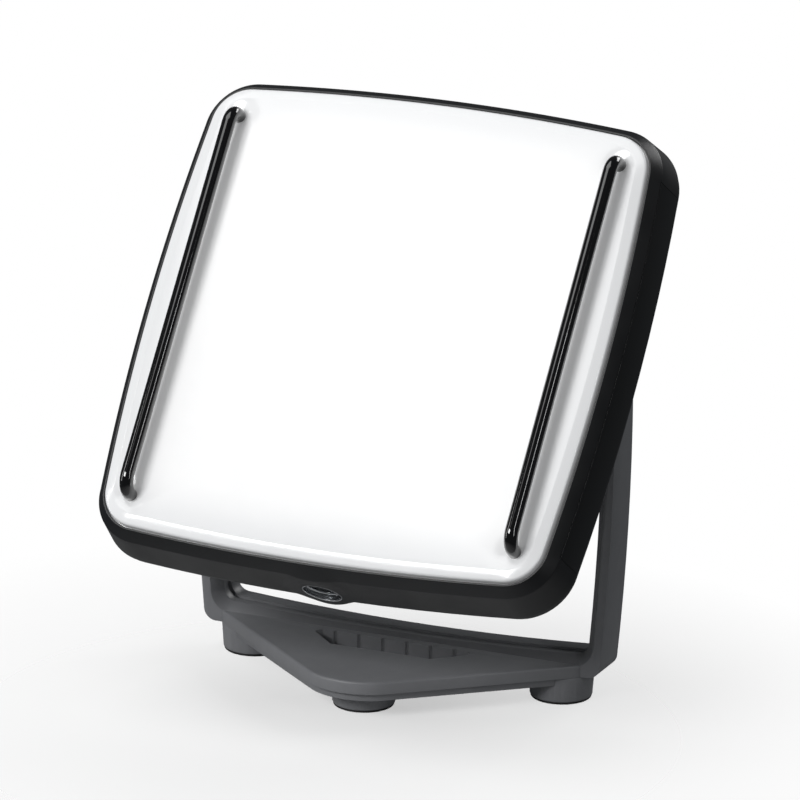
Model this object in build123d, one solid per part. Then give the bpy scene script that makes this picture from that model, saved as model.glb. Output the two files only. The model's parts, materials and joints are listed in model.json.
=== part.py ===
from build123d import *
import math
import os

"""Rechargeable square work light on a tilting three-footed magnetic stand. All sizes in millimetres.

The head is drawn in its own frame: x across the face, y up the face, z out of the face, with zero at
the edge of the lens. It is then laid back by REST_TILT and hung from the pivot. The stand is drawn
upright: x across, -y to the front, z up, with zero on the floor midway between the rear feet.
"""

# ---- driving sizes: lens and bezel ----
LENS_HALF_W = 93.0
LENS_HALF_H = 93.9
SIDE_BOW_R = 925.0
LENS_CORNER_R = 15.0
LENS_RISE = 3.0
LENS_WALL = 2.5
LENS_EDGE_ROUND = 2.4
LENS_FLANGE_OUT = 1.8
LENS_FLANGE_THICK = 2.0
LENS_GROOVE = 0.5
LIP_WIDTH = 0.65
LIP_RISE = 0.3
LIP_THICK = 2.4
BEVEL_OUT = 4.5
BEVEL_DROP = 4.4
RIM_OUT = 6.5
RIM_DEPTH = 19.7
RIM_WALL = 2.2
RIM_ROUND = 1.0
GASKET_THICK = 1.6
GASKET_WIDTH = 4.4

# ---- driving sizes: side strips ----
STRIP_HALF_L = 76.0
STRIP_THICK = 1.4

# ---- driving sizes: rear housing ----
FLANGE_THICK = 2.6
FLANGE_OUT = 5.8
BOX_HALF_W = 76.0
BOX_HALF_H = 78.0
BOX_DEPTH = 52.0
BOX_CORNER_R = 14.0
BOX_WALL = 2.5
BOX_ROUND = 5.0
RIB_THICK = 2.0
DRIVER_POST_R = 3.0
SWITCH_POST_R = 2.6
POST_HOLE_DEPTH = 6.0
CASE_SCREW_OUT = 1.9
CASE_SCREW_SPREAD = 48.0
CASE_BOSS_R = 2.3

# ---- driving sizes: guard bars ----
BAR_R = 2.65
BAR_X = 78.6
BAR_LEG_Y = 78.6
BAR_RISE = 9.8
BAR_BEND_R = 6.0
BAR_LEG_DEPTH = 17.0
BAR_POST_R = 5.2
SEAL_THICK = 1.9
BAR_HOLE_GAP = 0.35
DIMPLE_R = 6.5
DIMPLE_DEPTH = 1.4

# ---- driving sizes: light engine ----
SPREADER_HALF = (70.0, 72.0)
SPREADER_THICK = 2.0
SPREADER_BACK = 17.6
LED_BOARD_HALF = (66.0, 70.0)
BOARD_THICK = 1.6
LED_COLUMNS = 8
LED_ROWS = 9
LED_PITCH = 15.0
LED_SIZE = (3.5, 2.8, 0.8)
REFLECTOR_TOP_HALF = (72.8, 82.0)
REFLECTOR_FOOT_HALF = (63.0, 67.0)
REFLECTOR_WALL = 1.2
POST_AT = (58.0, 60.0)
POST_R = 4.0

# ---- driving sizes: tripod socket (5/8 inch stand thread) ----
SOCKET_Z = -17.0
SOCKET_FACE_OUT = 6.0
SOCKET_BOSS_R = 11.0
INSERT_R = 8.7
INSERT_LENGTH = 15.0
SOCKET_MINOR_R = 6.9
SOCKET_CHAMFER = 1.1

# ---- driving sizes: battery and electronics ----
CELL_R = 9.1
CELL_LENGTH = 65.0
CELL_COUNT = 4
CELL_PITCH = 18.9
CELL_MID_Y = -38.0
LINK_THICK = 0.3
HOLDER_WALL = 1.8
DRIVER_SIZE = (88.0, 58.0)
DRIVER_MID_Y = 37.0
ROOM_BEHIND_DRIVER = 22.0
DRIVER_BACK = BOX_DEPTH - ROOM_BEHIND_DRIVER
SWITCH_BOARD_SIZE = (74.0, 52.0)
ROOM_BEHIND_SWITCH_BOARD = 12.0
SWITCH_BOARD_FRONT = BOX_DEPTH - ROOM_BEHIND_SWITCH_BOARD
PANEL_MID_Y = 30.0
PANEL_SIZE = (64.0, 56.0)
PANEL_CORNER_R = 6.0
PANEL_PROUD = 1.4
PANEL_LEDGE = 2.0
POWER_AT = (-15.0, 39.0)
POWER_R = 8.0
MODE_AT = (14.0, 39.0)
MODE_R = 6.5
BUTTON_PROUD = 1.3
BUTTON_TRAVEL = 0.8
SWITCH_SIZE = (6.2, 6.2, 3.5)
PLUNGER_R = 1.6
INDICATOR_R = 1.2
INDICATOR_PITCH = 6.0
INDICATOR_COUNT = 4
INDICATOR_Y = 52.0
PORT_Y = 11.0
COVER_SIZE = (19.0, 10.6, 1.2)
COVER_KNUCKLE_R = 1.1
COVER_PIN_R = 0.5
USB_SIZE = (9.0, 3.3, 7.6)

# ---- driving sizes: stand ----
REST_TILT = 37.9
PIVOT_Y = 2.0
PIVOT_Z = 128.0
PIVOT_UP_HEAD = 7.6
PIVOT_BACK_HEAD = 38.4
ARM_HALF_W = 87.3
ARM_THICK = 7.1
ARM_BOW_R = 1050.0
ARM_BOW_Z = 111.0
ARM_FRONT_Y = -7.0
ARM_DEPTH = 18.0
HUB_R = 11.0
FRAME_BOTTOM_Z = 11.0
FRAME_CORNER_R = 5.0
CROSSBAR_TOP_Z = 16.0
CROSSBAR_BOW_R = 1040.0
OPENING_CORNER_R = 5.0
CHAMFER_WIDTH = 3.6
CHAMFER_DEPTH = 5.0
CHANNEL_LOW_Y = -1.7
CHANNEL_HIGH_Y = 4.3
CHANNEL_DEPTH = 1.0
PLATE_TOP_Z = 16.0
DECK_BOTTOM_Z = 8.0
DECK_INSET = 1.6
PLATE_TIP_R = 26.0
PLATE_TIP_Y = -36.6
PLATE_ROUND = 1.0
FINGER_FAR_Y = -11.5
FINGER_NEAR_Y = -25.5
FINGER_HALF_TOP = 33.0
FINGER_HALF_NEAR = 21.0
GRIP_GROOVES = 6
GRIP_PITCH = 10.0
GRIP_GROOVE_R = 0.8

# ---- driving sizes: feet ----
REAR_FOOT_X = 64.5
FRONT_FOOT_Y = -40.8
FOOT_R = 12.0
FOOT_FLARE = 0.7
FOOT_PAD_THICK = 0.9
MAGNET_WALL = 2.1
MAGNET_R = FOOT_R - MAGNET_WALL
MAGNET_THICK = 4.9
FOOT_SCREW_R = 1.95
FOOT_SCREW_TOP_Z = 14.5

# ---- driving sizes: pivots ----
PIVOT_BOSS_R = 10.0
PIVOT_BOSS_OUT = 3.0
WASHER_THICK = 1.1
BOLT_SHOULDER_R = 4.0
BOLT_THREAD_R = 2.95
BOLT_HEAD_R = 7.0
BOLT_HEAD_THICK = 1.6
BOLT_THREAD_LENGTH = 9.5
BUSH_WALL = 1.55
PIVOT_INSERT_WALL = 1.4
CAP_POCKET_R = 8.2
CAP_THICK = 1.5

# ---- clearances ----
SLIP = 0.05
SEAT = 0.1
GAP = 0.3

# screws that cut their own thread: shank, hole, clearance hole and pan head
SCREW_R = 1.0
PILOT_R = 1.05
CLEAR_R = 1.4
PAN_R = 2.2
PAN_THICK = 1.3
BAR_SCREW_R = 1.4
BAR_SCREW_HOLE_R = 1.5
BAR_PAN_R = 2.7
BAR_PAN_THICK = 1.5
BASE_SCREW_R = 1.5
BASE_SCREW_HOLE_R = 1.6
BASE_PAN_R = 2.9
BASE_PAN_ROOM = 3.2
BASE_PAN_THICK = 1.4
BASE_SCREW_TOP_Z = 14.0
BASE_SCREW_Y = ARM_FRONT_Y + ARM_DEPTH / 2
INSERT_WALL_R = BOLT_THREAD_R + SLIP + PIVOT_INSERT_WALL

FRONT = -RIM_DEPTH
FLANGE_BACK = FRONT - FLANGE_THICK - SEAT
BOX_FRONT = FLANGE_BACK - SEAT / 2
BACK_FACE = -BOX_DEPTH
BACK_INSIDE = BACK_FACE + BOX_WALL
SIDES = {"left": -1, "right": 1}
CORNERS = [(-1, -1), (-1, 1), (1, -1), (1, 1)]

parts = {}


# ---- helpers ----
def outline(out):
    """Face outline of the head: a rounded square with bowed sides, grown outwards by out."""
    half_w, half_h, bow = LENS_HALF_W + out, LENS_HALF_H + out, SIDE_BOW_R + out
    across = (Pos(half_w - bow, 0) * Circle(bow)) & (Pos(bow - half_w, 0) * Circle(bow))
    upright = (Pos(0, half_h - bow) * Circle(bow)) & (Pos(0, bow - half_h) * Circle(bow))
    face = across & upright
    return fillet(face.vertices(), LENS_CORNER_R + out)


def slab(face, low, high):
    """A flat face made solid between two heights."""
    return extrude(Pos(0, 0, low) * face, high - low)


def tapered(sections):
    """Ruled solid through head outlines, given as (height, out) from the back to the front."""
    return loft([Pos(0, 0, height) * outline(out) for height, out in sections], ruled=True)


def rounded(width, height, radius):
    return RectangleRounded(width, height, radius)


def disc(radius, low, high, at=(0, 0)):
    """Upright cylinder between two heights."""
    return Pos(at[0], at[1], (low + high) / 2) * Cylinder(radius, high - low)


def block(size, low, high, at=(0, 0)):
    """Upright box, centred on at, between two heights."""
    return Pos(at[0], at[1], (low + high) / 2) * Box(size[0], size[1], high - low)


def rod_x(radius, low, high, at):
    """Cylinder along x between two places, at (y, z)."""
    return Pos((low + high) / 2, at[0], at[1]) * Rot(0, 90, 0) * Cylinder(radius, high - low)


def rod_y(radius, low, high, at):
    """Cylinder along y between two places, at (x, z)."""
    return Pos(at[0], (low + high) / 2, at[1]) * Rot(90, 0, 0) * Cylinder(radius, high - low)


def along_y(face, low, high):
    """A face drawn in x and z, made solid from y = low to y = high."""
    back = Plane(origin=(0, high, 0), x_dir=(1, 0, 0), z_dir=(0, -1, 0))
    return extrude(back * face, high - low)


def bow_drop(along, out):
    """How far a bowed side has fallen back, at a distance along it from its middle."""
    bow = SIDE_BOW_R + out
    return bow - math.sqrt(bow**2 - along**2)


def fuse(pieces):
    """One solid from pieces that overlap."""
    whole = pieces[0]
    for piece in pieces[1:]:
        whole = whole + piece
    return whole


def group(pieces):
    """Separate solids that share one node."""
    return Compound(children=list(pieces))


# ---- head: bezel, strips and lens ----
def rim_skin(inset):
    """The bezel's outer shape, moved inwards by inset."""
    lip = LENS_GROOVE + LIP_WIDTH
    return tapered([(FRONT, RIM_OUT - inset), (-BEVEL_DROP, BEVEL_OUT - inset), (LIP_RISE, lip - inset)])


def strip_zone(side):
    """Space that holds a side strip: outboard of the bevel edge, between the two seams."""
    depth = RIM_DEPTH - BEVEL_DROP
    middle = (FRONT - BEVEL_DROP) / 2
    return Pos(side * LENS_HALF_W, 0, middle) * Box(2 * RIM_DEPTH, 2 * STRIP_HALF_L, depth)


def rim_wall(inset):
    """The tapered side wall behind the bevel edge, moved inwards by inset."""
    return tapered([(FRONT, RIM_OUT - inset), (-BEVEL_DROP, BEVEL_OUT - inset)])


def side_strip(side):
    return (rim_wall(0) - rim_wall(STRIP_THICK)) & strip_zone(side)


def case_screw_places():
    """Two screws on each side of the rim, on the flange's centre line."""
    out = CASE_SCREW_OUT
    across = LENS_HALF_W + out - bow_drop(CASE_SCREW_SPREAD, out)
    upright = LENS_HALF_H + out - bow_drop(CASE_SCREW_SPREAD, out)
    places = []
    for a, b in CORNERS:
        places.append((a * across, b * CASE_SCREW_SPREAD))
        places.append((a * CASE_SCREW_SPREAD, b * upright))
    return places


def socket_face_y():
    return -(LENS_HALF_H + SOCKET_FACE_OUT)


def front_bezel():
    skin = rim_skin(0)
    body = fillet(skin.edges().filter_by_position(Axis.Z, -BEVEL_DROP, -BEVEL_DROP), RIM_ROUND)
    body = fillet(body.edges().group_by(Axis.Z)[0], RIM_ROUND / 2)
    for side in SIDES.values():
        body = body - ((rim_wall(0) - rim_wall(STRIP_THICK)) & strip_zone(side))
    flange_low = -LIP_THICK - LENS_FLANGE_THICK
    hollow = fuse([
        slab(outline(LENS_GROOVE), -LIP_THICK - 1, LIP_RISE + 1),
        slab(outline(LENS_FLANGE_OUT + SEAT), flange_low - 0.2, -LIP_THICK),
        tapered([(FRONT - 0.01, RIM_OUT - RIM_WALL), (flange_low, BEVEL_OUT - RIM_WALL)]),
    ])
    body = body - hollow
    bosses = [disc(CASE_BOSS_R, FRONT, -BEVEL_DROP - 2, place) for place in case_screw_places()]
    inside = rim_skin(STRIP_THICK)
    body = fuse([body] + [boss & inside for boss in bosses])
    face = socket_face_y()
    socket_boss = rod_y(SOCKET_BOSS_R, face, face + INSERT_LENGTH + 1, (0, SOCKET_Z))
    body = body + socket_boss
    body = body - rod_y(INSERT_R + SLIP / 2, face - 1, face + INSERT_LENGTH, (0, SOCKET_Z))
    for place in case_screw_places():
        body = body - disc(PILOT_R, FRONT - 1, -BEVEL_DROP - 4, place)
    return body


def tripod_insert():
    """Threaded metal socket in the bottom of the rim, shown at its thread's minor radius."""
    face = socket_face_y() + 0.2
    body = rod_y(INSERT_R, face, face + INSERT_LENGTH - 0.4, (0, SOCKET_Z))
    body = body - rod_y(SOCKET_MINOR_R, face - 1, face + INSERT_LENGTH, (0, SOCKET_Z))
    mouth = body.edges().group_by(Axis.Y)[0].sort_by(SortBy.RADIUS)[0]
    return chamfer(mouth, SOCKET_CHAMFER)


def bar_places():
    return [(a * BAR_X, b * BAR_LEG_Y) for a, b in CORNERS]


def diffuser_lens():
    out = -0.15
    flange_low = -LIP_THICK - LENS_FLANGE_THICK
    dome = slab(outline(out), flange_low, LENS_RISE)
    dome = fillet(dome.edges().group_by(Axis.Z)[-1], LENS_EDGE_ROUND)
    cavity = slab(outline(out - LENS_WALL), flange_low - 1, LENS_RISE - LENS_WALL)
    flange = slab(outline(LENS_FLANGE_OUT), flange_low, -LIP_THICK)
    body = (dome + flange) - cavity
    ball = (DIMPLE_R**2 + DIMPLE_DEPTH**2) / (2 * DIMPLE_DEPTH)
    for x, y in bar_places():
        body = body - Pos(x, y, LENS_RISE + ball - DIMPLE_DEPTH) * Sphere(ball)
        body = body - disc(BAR_R + BAR_HOLE_GAP, -1, LENS_RISE + 1, (x, y))
    return body


def lens_gasket():
    high = -LIP_THICK - LENS_FLANGE_THICK
    ring = slab(outline(LENS_FLANGE_OUT), high - GASKET_THICK, high)
    return ring - slab(outline(LENS_FLANGE_OUT - GASKET_WIDTH), high - GASKET_THICK - 1, high + 1)


# ---- head: guard bars ----
def guard_bar(side):
    """A bar bent into a wide U, with its two legs going down through the lens."""
    x = side * BAR_X
    foot = -BAR_LEG_DEPTH
    legs = [(x, -BAR_LEG_Y, foot), (x, -BAR_LEG_Y, BAR_RISE)]
    points = legs + [(x, BAR_LEG_Y, BAR_RISE), (x, BAR_LEG_Y, foot)]
    path = FilletPolyline(*points, radius=BAR_BEND_R)
    bar = sweep(Plane(origin=points[0], z_dir=(0, 0, 1)) * Circle(BAR_R), path)
    for y in (-BAR_LEG_Y, BAR_LEG_Y):
        bar = bar - disc(BAR_SCREW_R + SLIP, foot - 1, foot + 9, (x, y))
    return bar


def bar_seal(place):
    high = LENS_RISE - LENS_WALL
    ring = disc(BAR_R + 1.5, high - SEAL_THICK, high, place)
    return ring - disc(BAR_R + SLIP, high - 3, high + 1, place)


def bar_screw(place):
    head = disc(BAR_PAN_R, FLANGE_BACK - BAR_PAN_THICK, FLANGE_BACK, place)
    return head + disc(BAR_SCREW_R, FLANGE_BACK - 0.5, 7 - BAR_LEG_DEPTH, place)


# ---- head: rear housing ----
def box_face(inset):
    return rounded(2 * (BOX_HALF_W - inset), 2 * (BOX_HALF_H - inset), BOX_CORNER_R - inset)


def pivot_place():
    """The pivot axis in the head's own frame, as (y, z)."""
    return (PIVOT_UP_HEAD, -PIVOT_BACK_HEAD)


def driver_post_places():
    return [(a * (DRIVER_SIZE[0] / 2 - 3), DRIVER_MID_Y + b * (DRIVER_SIZE[1] / 2 - 4)) for a, b in CORNERS]


def switch_post_places():
    half_w, half_h = SWITCH_BOARD_SIZE[0] / 2 - 3, SWITCH_BOARD_SIZE[1] / 2 - 5
    return [(a * half_w, PANEL_MID_Y + b * half_h) for a, b in CORNERS]


def spreader_post_places():
    return [(a * POST_AT[0], b * POST_AT[1]) for a, b in CORNERS]


def mid_frame():
    """Flange that the bezel screws to, with the rib under the lens and the guard bars' posts."""
    shell = slab(outline(FLANGE_OUT), FLANGE_BACK, FRONT - SEAT)
    rib_high = -LIP_THICK - LENS_FLANGE_THICK - GASKET_THICK
    rib_out = LENS_FLANGE_OUT - GASKET_WIDTH + RIB_THICK
    rib = slab(outline(rib_out), FRONT - 1, rib_high)
    shell = shell + (rib - slab(outline(rib_out - RIB_THICK), FRONT - 2, 1))
    shell = shell - slab(box_face(BOX_WALL), FLANGE_BACK - 1, 1)
    post_top = LENS_RISE - LENS_WALL - SEAL_THICK
    for place in bar_places():
        shell = shell + disc(BAR_POST_R, FRONT - 1, post_top, place)
        shell = shell - disc(BAR_R + SLIP, -BAR_LEG_DEPTH - SEAT, post_top + 1, place)
        shell = shell - disc(BAR_SCREW_HOLE_R, FLANGE_BACK - 1, 1 - BAR_LEG_DEPTH, place)
    for place in case_screw_places():
        shell = shell - disc(CLEAR_R, FLANGE_BACK - 1, FRONT + 1, place)
    face = socket_face_y()
    notch = rod_y(SOCKET_BOSS_R + 0.2, face - 1, face + INSERT_LENGTH + 1.2, (0, SOCKET_Z))
    return shell - notch


def pivot_bosses(shell):
    """The shell with a boss and a stepped hole for the pivot insert on each side."""
    y, z = pivot_place()
    reach = BOX_HALF_W + PIVOT_BOSS_OUT
    inner_reach = reach - BOLT_THREAD_LENGTH - 1
    for side in SIDES.values():
        shell = shell + rod_x(PIVOT_BOSS_R, *on_side(side, BOX_HALF_W - BOX_WALL / 2, reach), (y, z))
        shell = shell + rod_x(INSERT_WALL_R + 2, *on_side(side, inner_reach, BOX_HALF_W - 1), (y, z))
        shell = shell - rod_x(INSERT_WALL_R, *on_side(side, inner_reach - 1, reach + 1), (y, z))
    return shell


def inner_posts(shell):
    """The shell with its posts for the heat spreader and the two boards."""
    floor = BACK_INSIDE - 0.5
    for places, radius, top in (
        (spreader_post_places(), POST_R, -SPREADER_BACK),
        (driver_post_places(), DRIVER_POST_R, -DRIVER_BACK),
        (switch_post_places(), SWITCH_POST_R, -SWITCH_BOARD_FRONT - BOARD_THICK),
    ):
        for place in places:
            shell = shell + disc(radius, floor, top, place)
            shell = shell - disc(PILOT_R, top - POST_HOLE_DEPTH, top + 1, place)
    return shell


def rear_housing():
    """Box behind the flange, welded to it, that holds the battery and carries the pivots."""
    shell = slab(box_face(0), BACK_FACE, BOX_FRONT)
    shell = fillet(shell.edges().group_by(Axis.Z)[0], BOX_ROUND)
    inner = slab(box_face(BOX_WALL), BACK_INSIDE, 1)
    shell = shell - fillet(inner.edges().group_by(Axis.Z)[0], BOX_ROUND - BOX_WALL)
    shell = inner_posts(pivot_bosses(shell))
    window = (PANEL_SIZE[0] - 2 * PANEL_LEDGE, PANEL_SIZE[1] - 2 * PANEL_LEDGE)
    opening = rounded(window[0], window[1], PANEL_CORNER_R - PANEL_LEDGE)
    return shell - slab(Pos(0, PANEL_MID_Y) * opening, BACK_FACE - 1, BACK_INSIDE + 0.01)


def case_screw(place):
    head = disc(PAN_R, FLANGE_BACK - PAN_THICK, FLANGE_BACK, place)
    return head + disc(SCREW_R, FLANGE_BACK - 0.5, -BEVEL_DROP - 5, place)


# ---- head: light engine ----
def heat_spreader():
    face = rounded(2 * SPREADER_HALF[0], 2 * SPREADER_HALF[1], 8)
    body = slab(face, -SPREADER_BACK, -SPREADER_BACK + SPREADER_THICK)
    for place in spreader_post_places():
        body = body - disc(CLEAR_R, -SPREADER_BACK - 1, -SPREADER_BACK + 3, place)
    return body


def led_board():
    low = -SPREADER_BACK + SPREADER_THICK
    face = rounded(2 * LED_BOARD_HALF[0], 2 * LED_BOARD_HALF[1], 6)
    body = slab(face, low, low + BOARD_THICK)
    for place in spreader_post_places():
        body = body - disc(CLEAR_R, low - 1, low + 3, place)
    return body


def leds():
    low = -SPREADER_BACK + SPREADER_THICK + BOARD_THICK
    pieces = []
    for column in range(LED_COLUMNS):
        for row in range(LED_ROWS):
            x = (column - (LED_COLUMNS - 1) / 2) * LED_PITCH
            y = (row - (LED_ROWS - 1) / 2) * LED_PITCH
            pieces.append(block(LED_SIZE[:2], low, low + LED_SIZE[2], (x, y)))
    return group(pieces)


def board_screw(place):
    seat = -SPREADER_BACK + SPREADER_THICK + BOARD_THICK
    return disc(PAN_R, seat, seat + PAN_THICK, place) + disc(SCREW_R, seat - 8, seat + 0.5, place)


def reflector_frame():
    low = -SPREADER_BACK + SPREADER_THICK + BOARD_THICK
    high = LENS_RISE - LENS_WALL - 0.2

    def funnel(wall):
        foot = rounded(2 * (REFLECTOR_FOOT_HALF[0] + wall), 2 * (REFLECTOR_FOOT_HALF[1] + wall), 8)
        top = rounded(2 * (REFLECTOR_TOP_HALF[0] + wall), 2 * (REFLECTOR_TOP_HALF[1] + wall), 8)
        return loft([Pos(0, 0, low) * foot, Pos(0, 0, high) * top], ruled=True)

    return funnel(0) - funnel(-REFLECTOR_WALL)


# ---- head: battery ----
def cell_places():
    return [(i - (CELL_COUNT - 1) / 2) * CELL_PITCH for i in range(CELL_COUNT)]


def cell_mid_z():
    return BACK_INSIDE + 0.1 + HOLDER_WALL + 0.1 + CELL_R


def battery_cells():
    low = CELL_MID_Y - CELL_LENGTH / 2
    return group(rod_y(CELL_R, low, low + CELL_LENGTH, (x, cell_mid_z())) for x in cell_places())


def cell_links():
    """Welded nickel strips that join the cells at both ends."""
    pieces = []
    for end in (-1, 1):
        y = CELL_MID_Y + end * (CELL_LENGTH + LINK_THICK) / 2
        middle = Pos(0, y, cell_mid_z())
        pieces.append(middle * Box((CELL_COUNT - 1) * CELL_PITCH + 8, LINK_THICK, 8))
    return group(pieces)


def battery_holder():
    half_w = (CELL_COUNT * CELL_PITCH) / 2 + HOLDER_WALL
    half_l = CELL_LENGTH / 2 + LINK_THICK + 0.2 + HOLDER_WALL
    low = BACK_INSIDE + 0.1
    high = cell_mid_z() + 5
    tray = block((2 * half_w, 2 * half_l), low, high, (0, CELL_MID_Y))
    inner = (2 * (half_w - HOLDER_WALL), 2 * (half_l - HOLDER_WALL))
    return tray - block(inner, low + HOLDER_WALL, high + 1, (0, CELL_MID_Y))


# ---- head: electronics and controls ----
def driver_board():
    low = -DRIVER_BACK
    body = block(DRIVER_SIZE, low, low + BOARD_THICK, (0, DRIVER_MID_Y))
    for place in driver_post_places():
        body = body - disc(CLEAR_R, low - 1, low + 3, place)
    return body


def driver_components():
    """Inductor, capacitors, power transistors and connectors on the driver board."""
    front = -DRIVER_BACK + BOARD_THICK
    back = -DRIVER_BACK
    return group([
        block((14, 14), front, front + 7.5, (-20, DRIVER_MID_Y + 10)),
        disc(4.0, front, front + 8.5, (2, DRIVER_MID_Y + 14)),
        disc(4.0, front, front + 8.5, (13, DRIVER_MID_Y + 14)),
        block((9, 9), front, front + 1.6, (-18, DRIVER_MID_Y - 12)),
        block((6.5, 6.1), front, front + 2.3, (0, DRIVER_MID_Y - 6)),
        block((6.5, 6.1), front, front + 2.3, (12, DRIVER_MID_Y - 6)),
        block((12, 6), front, front + 6.0, (28, DRIVER_MID_Y - 16)),
        block((10, 6), back - 6.0, back, (-28, DRIVER_MID_Y - 18)),
        block((5, 4), back - 1.5, back, (10, DRIVER_MID_Y)),
    ])


def small_screw(place, seat):
    """Pan-head screw that holds a board down at the height seat."""
    return disc(PAN_R, seat, seat + PAN_THICK, place) + disc(SCREW_R, seat - 6.5, seat + 0.5, place)


def switch_board():
    low = -SWITCH_BOARD_FRONT - BOARD_THICK
    body = block(SWITCH_BOARD_SIZE, low, low + BOARD_THICK, (0, PANEL_MID_Y))
    for place in switch_post_places():
        body = body - disc(CLEAR_R, low - 1, low + 3, place)
    return body


def switch_top():
    return -SWITCH_BOARD_FRONT - BOARD_THICK - SWITCH_SIZE[2]


def switch(place):
    """Push switch body with a guide hole for its plunger."""
    high = -SWITCH_BOARD_FRONT - BOARD_THICK
    body = block(SWITCH_SIZE[:2], switch_top(), high, place)
    return body - disc(PLUNGER_R + SLIP, switch_top() - 1, high - 0.6, place)


def plunger(place):
    top = switch_top() - 1.5
    return disc(PLUNGER_R, top, top + 3.4, place)


def button(place, radius):
    """Round push button: cap, retaining flange under the panel and a stem down to the switch."""
    face = BACK_FACE - PANEL_PROUD - BUTTON_PROUD
    flange = BACK_INSIDE + 0.2
    cap = disc(radius, face, flange + 0.5, place)
    cap = fillet(cap.edges().group_by(Axis.Z)[0], 0.6)
    retainer = disc(radius + 1.2, flange, flange + 1.0, place)
    stem = disc(2.2, flange + 0.5, switch_top() - 1.5, place)
    return cap + retainer + stem


def cover_hinge():
    """Port cover hinge axis as (y, z)."""
    top = BACK_FACE - PANEL_PROUD
    return (PORT_Y + COVER_SIZE[1] / 2 + COVER_KNUCKLE_R + 0.6, top + 0.4)


def control_panel():
    top = BACK_FACE - PANEL_PROUD
    face = Pos(0, PANEL_MID_Y) * rounded(PANEL_SIZE[0], PANEL_SIZE[1], PANEL_CORNER_R)
    neck = Pos(0, PANEL_MID_Y) * rounded(PANEL_SIZE[0] - 4.2, PANEL_SIZE[1] - 4.2, PANEL_CORNER_R - 2.1)
    plate = slab(face, top, BACK_FACE)
    plate = fillet(plate.edges().group_by(Axis.Z)[0], 0.5)
    body = plate + slab(neck, BACK_FACE - 0.5, BACK_INSIDE)
    body = body - disc(POWER_R + GAP, top - 1, BACK_INSIDE + 1, POWER_AT)
    body = body - disc(MODE_R + GAP, top - 1, BACK_INSIDE + 1, MODE_AT)
    for x in indicator_places():
        body = body - disc(INDICATOR_R + 0.02, top - 1, BACK_INSIDE + 1, (x, INDICATOR_Y))
    y, z = cover_hinge()
    pocket = block((COVER_SIZE[0] + 0.6, COVER_SIZE[1] + 0.6), top - 1, top + 1.4, (0, PORT_Y))
    lift = block((6, 3), top - 1, top + 1.4, (0, PORT_Y - COVER_SIZE[1] / 2 - 1))
    body = body - pocket - lift
    body = body - rod_x(COVER_KNUCKLE_R + 0.6, -knuckle_half() - 0.3, knuckle_half() + 0.3, (y, z))
    for side in SIDES.values():
        ends = sorted([side * (knuckle_half() + 0.3), side * (knuckle_half() + 2.3)])
        body = body + rod_x(COVER_KNUCKLE_R + 0.2, ends[0], ends[1], (y, z))
    body = body - rod_x(COVER_PIN_R + 0.02, -knuckle_half() - 2.1, knuckle_half() + 2.1, (y, z))
    slot = Pos(0, PORT_Y) * rounded(USB_SIZE[0] + 1.4, USB_SIZE[1] + 1.4, 2.2)
    return body - slab(slot, top - 1, BACK_INSIDE + 1)


def knuckle_half():
    return COVER_SIZE[0] / 2 - 3.5


def port_cover():
    """Hinged flap over the charging port, with its knuckle."""
    top = BACK_FACE - PANEL_PROUD
    y, z = cover_hinge()
    flap = block(COVER_SIZE[:2], top + 0.1, top + 0.1 + COVER_SIZE[2], (0, PORT_Y))
    neck_low = PORT_Y + COVER_SIZE[1] / 2 - 1
    neck = block((2 * knuckle_half(), y - neck_low), top + 0.1, top + 0.9, (0, (y + neck_low) / 2))
    tab = block((5, 2.2), top + 0.1, top + 0.9, (0, PORT_Y - COVER_SIZE[1] / 2 - 0.8))
    body = flap + neck + tab + rod_x(COVER_KNUCKLE_R, -knuckle_half(), knuckle_half(), (y, z))
    return body - rod_x(COVER_PIN_R + 0.08, -20, 20, (y, z))


def port_hinge_pin():
    y, z = cover_hinge()
    return rod_x(COVER_PIN_R, -knuckle_half() - 2.0, knuckle_half() + 2.0, (y, z))


def indicator_places():
    return [(i - (INDICATOR_COUNT - 1) / 2) * INDICATOR_PITCH for i in range(INDICATOR_COUNT)]


def indicator_lenses():
    """Light pipes from the switch board to the panel."""
    low = BACK_FACE - PANEL_PROUD - 0.2
    high = -SWITCH_BOARD_FRONT - BOARD_THICK - 0.8
    return group(disc(INDICATOR_R, low, high, (x, INDICATOR_Y)) for x in indicator_places())


def usb_socket():
    """Upright charging socket, open to the back."""
    high = -SWITCH_BOARD_FRONT - BOARD_THICK
    low = high - USB_SIZE[2]
    shell = slab(Pos(0, PORT_Y) * rounded(USB_SIZE[0], USB_SIZE[1], 1.5), low, high)
    room = slab(Pos(0, PORT_Y) * rounded(USB_SIZE[0] - 0.7, USB_SIZE[1] - 0.7, 1.2), low - 1, high - 1.2)
    tongue = block((6.7, 0.7), low + 0.8, high, (0, PORT_Y))
    return (shell - room) + tongue


# ---- pivots: along x, at (y, z) of the pivot in the frame they are drawn in ----
def arm_inside():
    return ARM_HALF_W - ARM_THICK


def on_side(side, low, high):
    return sorted([side * low, side * high])


def pocket_floor():
    return ARM_HALF_W - CAP_THICK - BOLT_HEAD_THICK - 0.5


def pivot_bolt(side, at):
    boss = BOX_HALF_W + PIVOT_BOSS_OUT
    head = pocket_floor() + SEAT
    pieces = [
        rod_x(BOLT_THREAD_R, *on_side(side, boss - BOLT_THREAD_LENGTH, boss + 1), at),
        rod_x(BOLT_SHOULDER_R, *on_side(side, boss, head + 0.5), at),
        rod_x(BOLT_HEAD_R, *on_side(side, head, head + BOLT_HEAD_THICK), at),
    ]
    drive = rod_x(2.2, *on_side(side, head + 0.6, head + 3), at)
    return fuse(pieces) - drive


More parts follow.
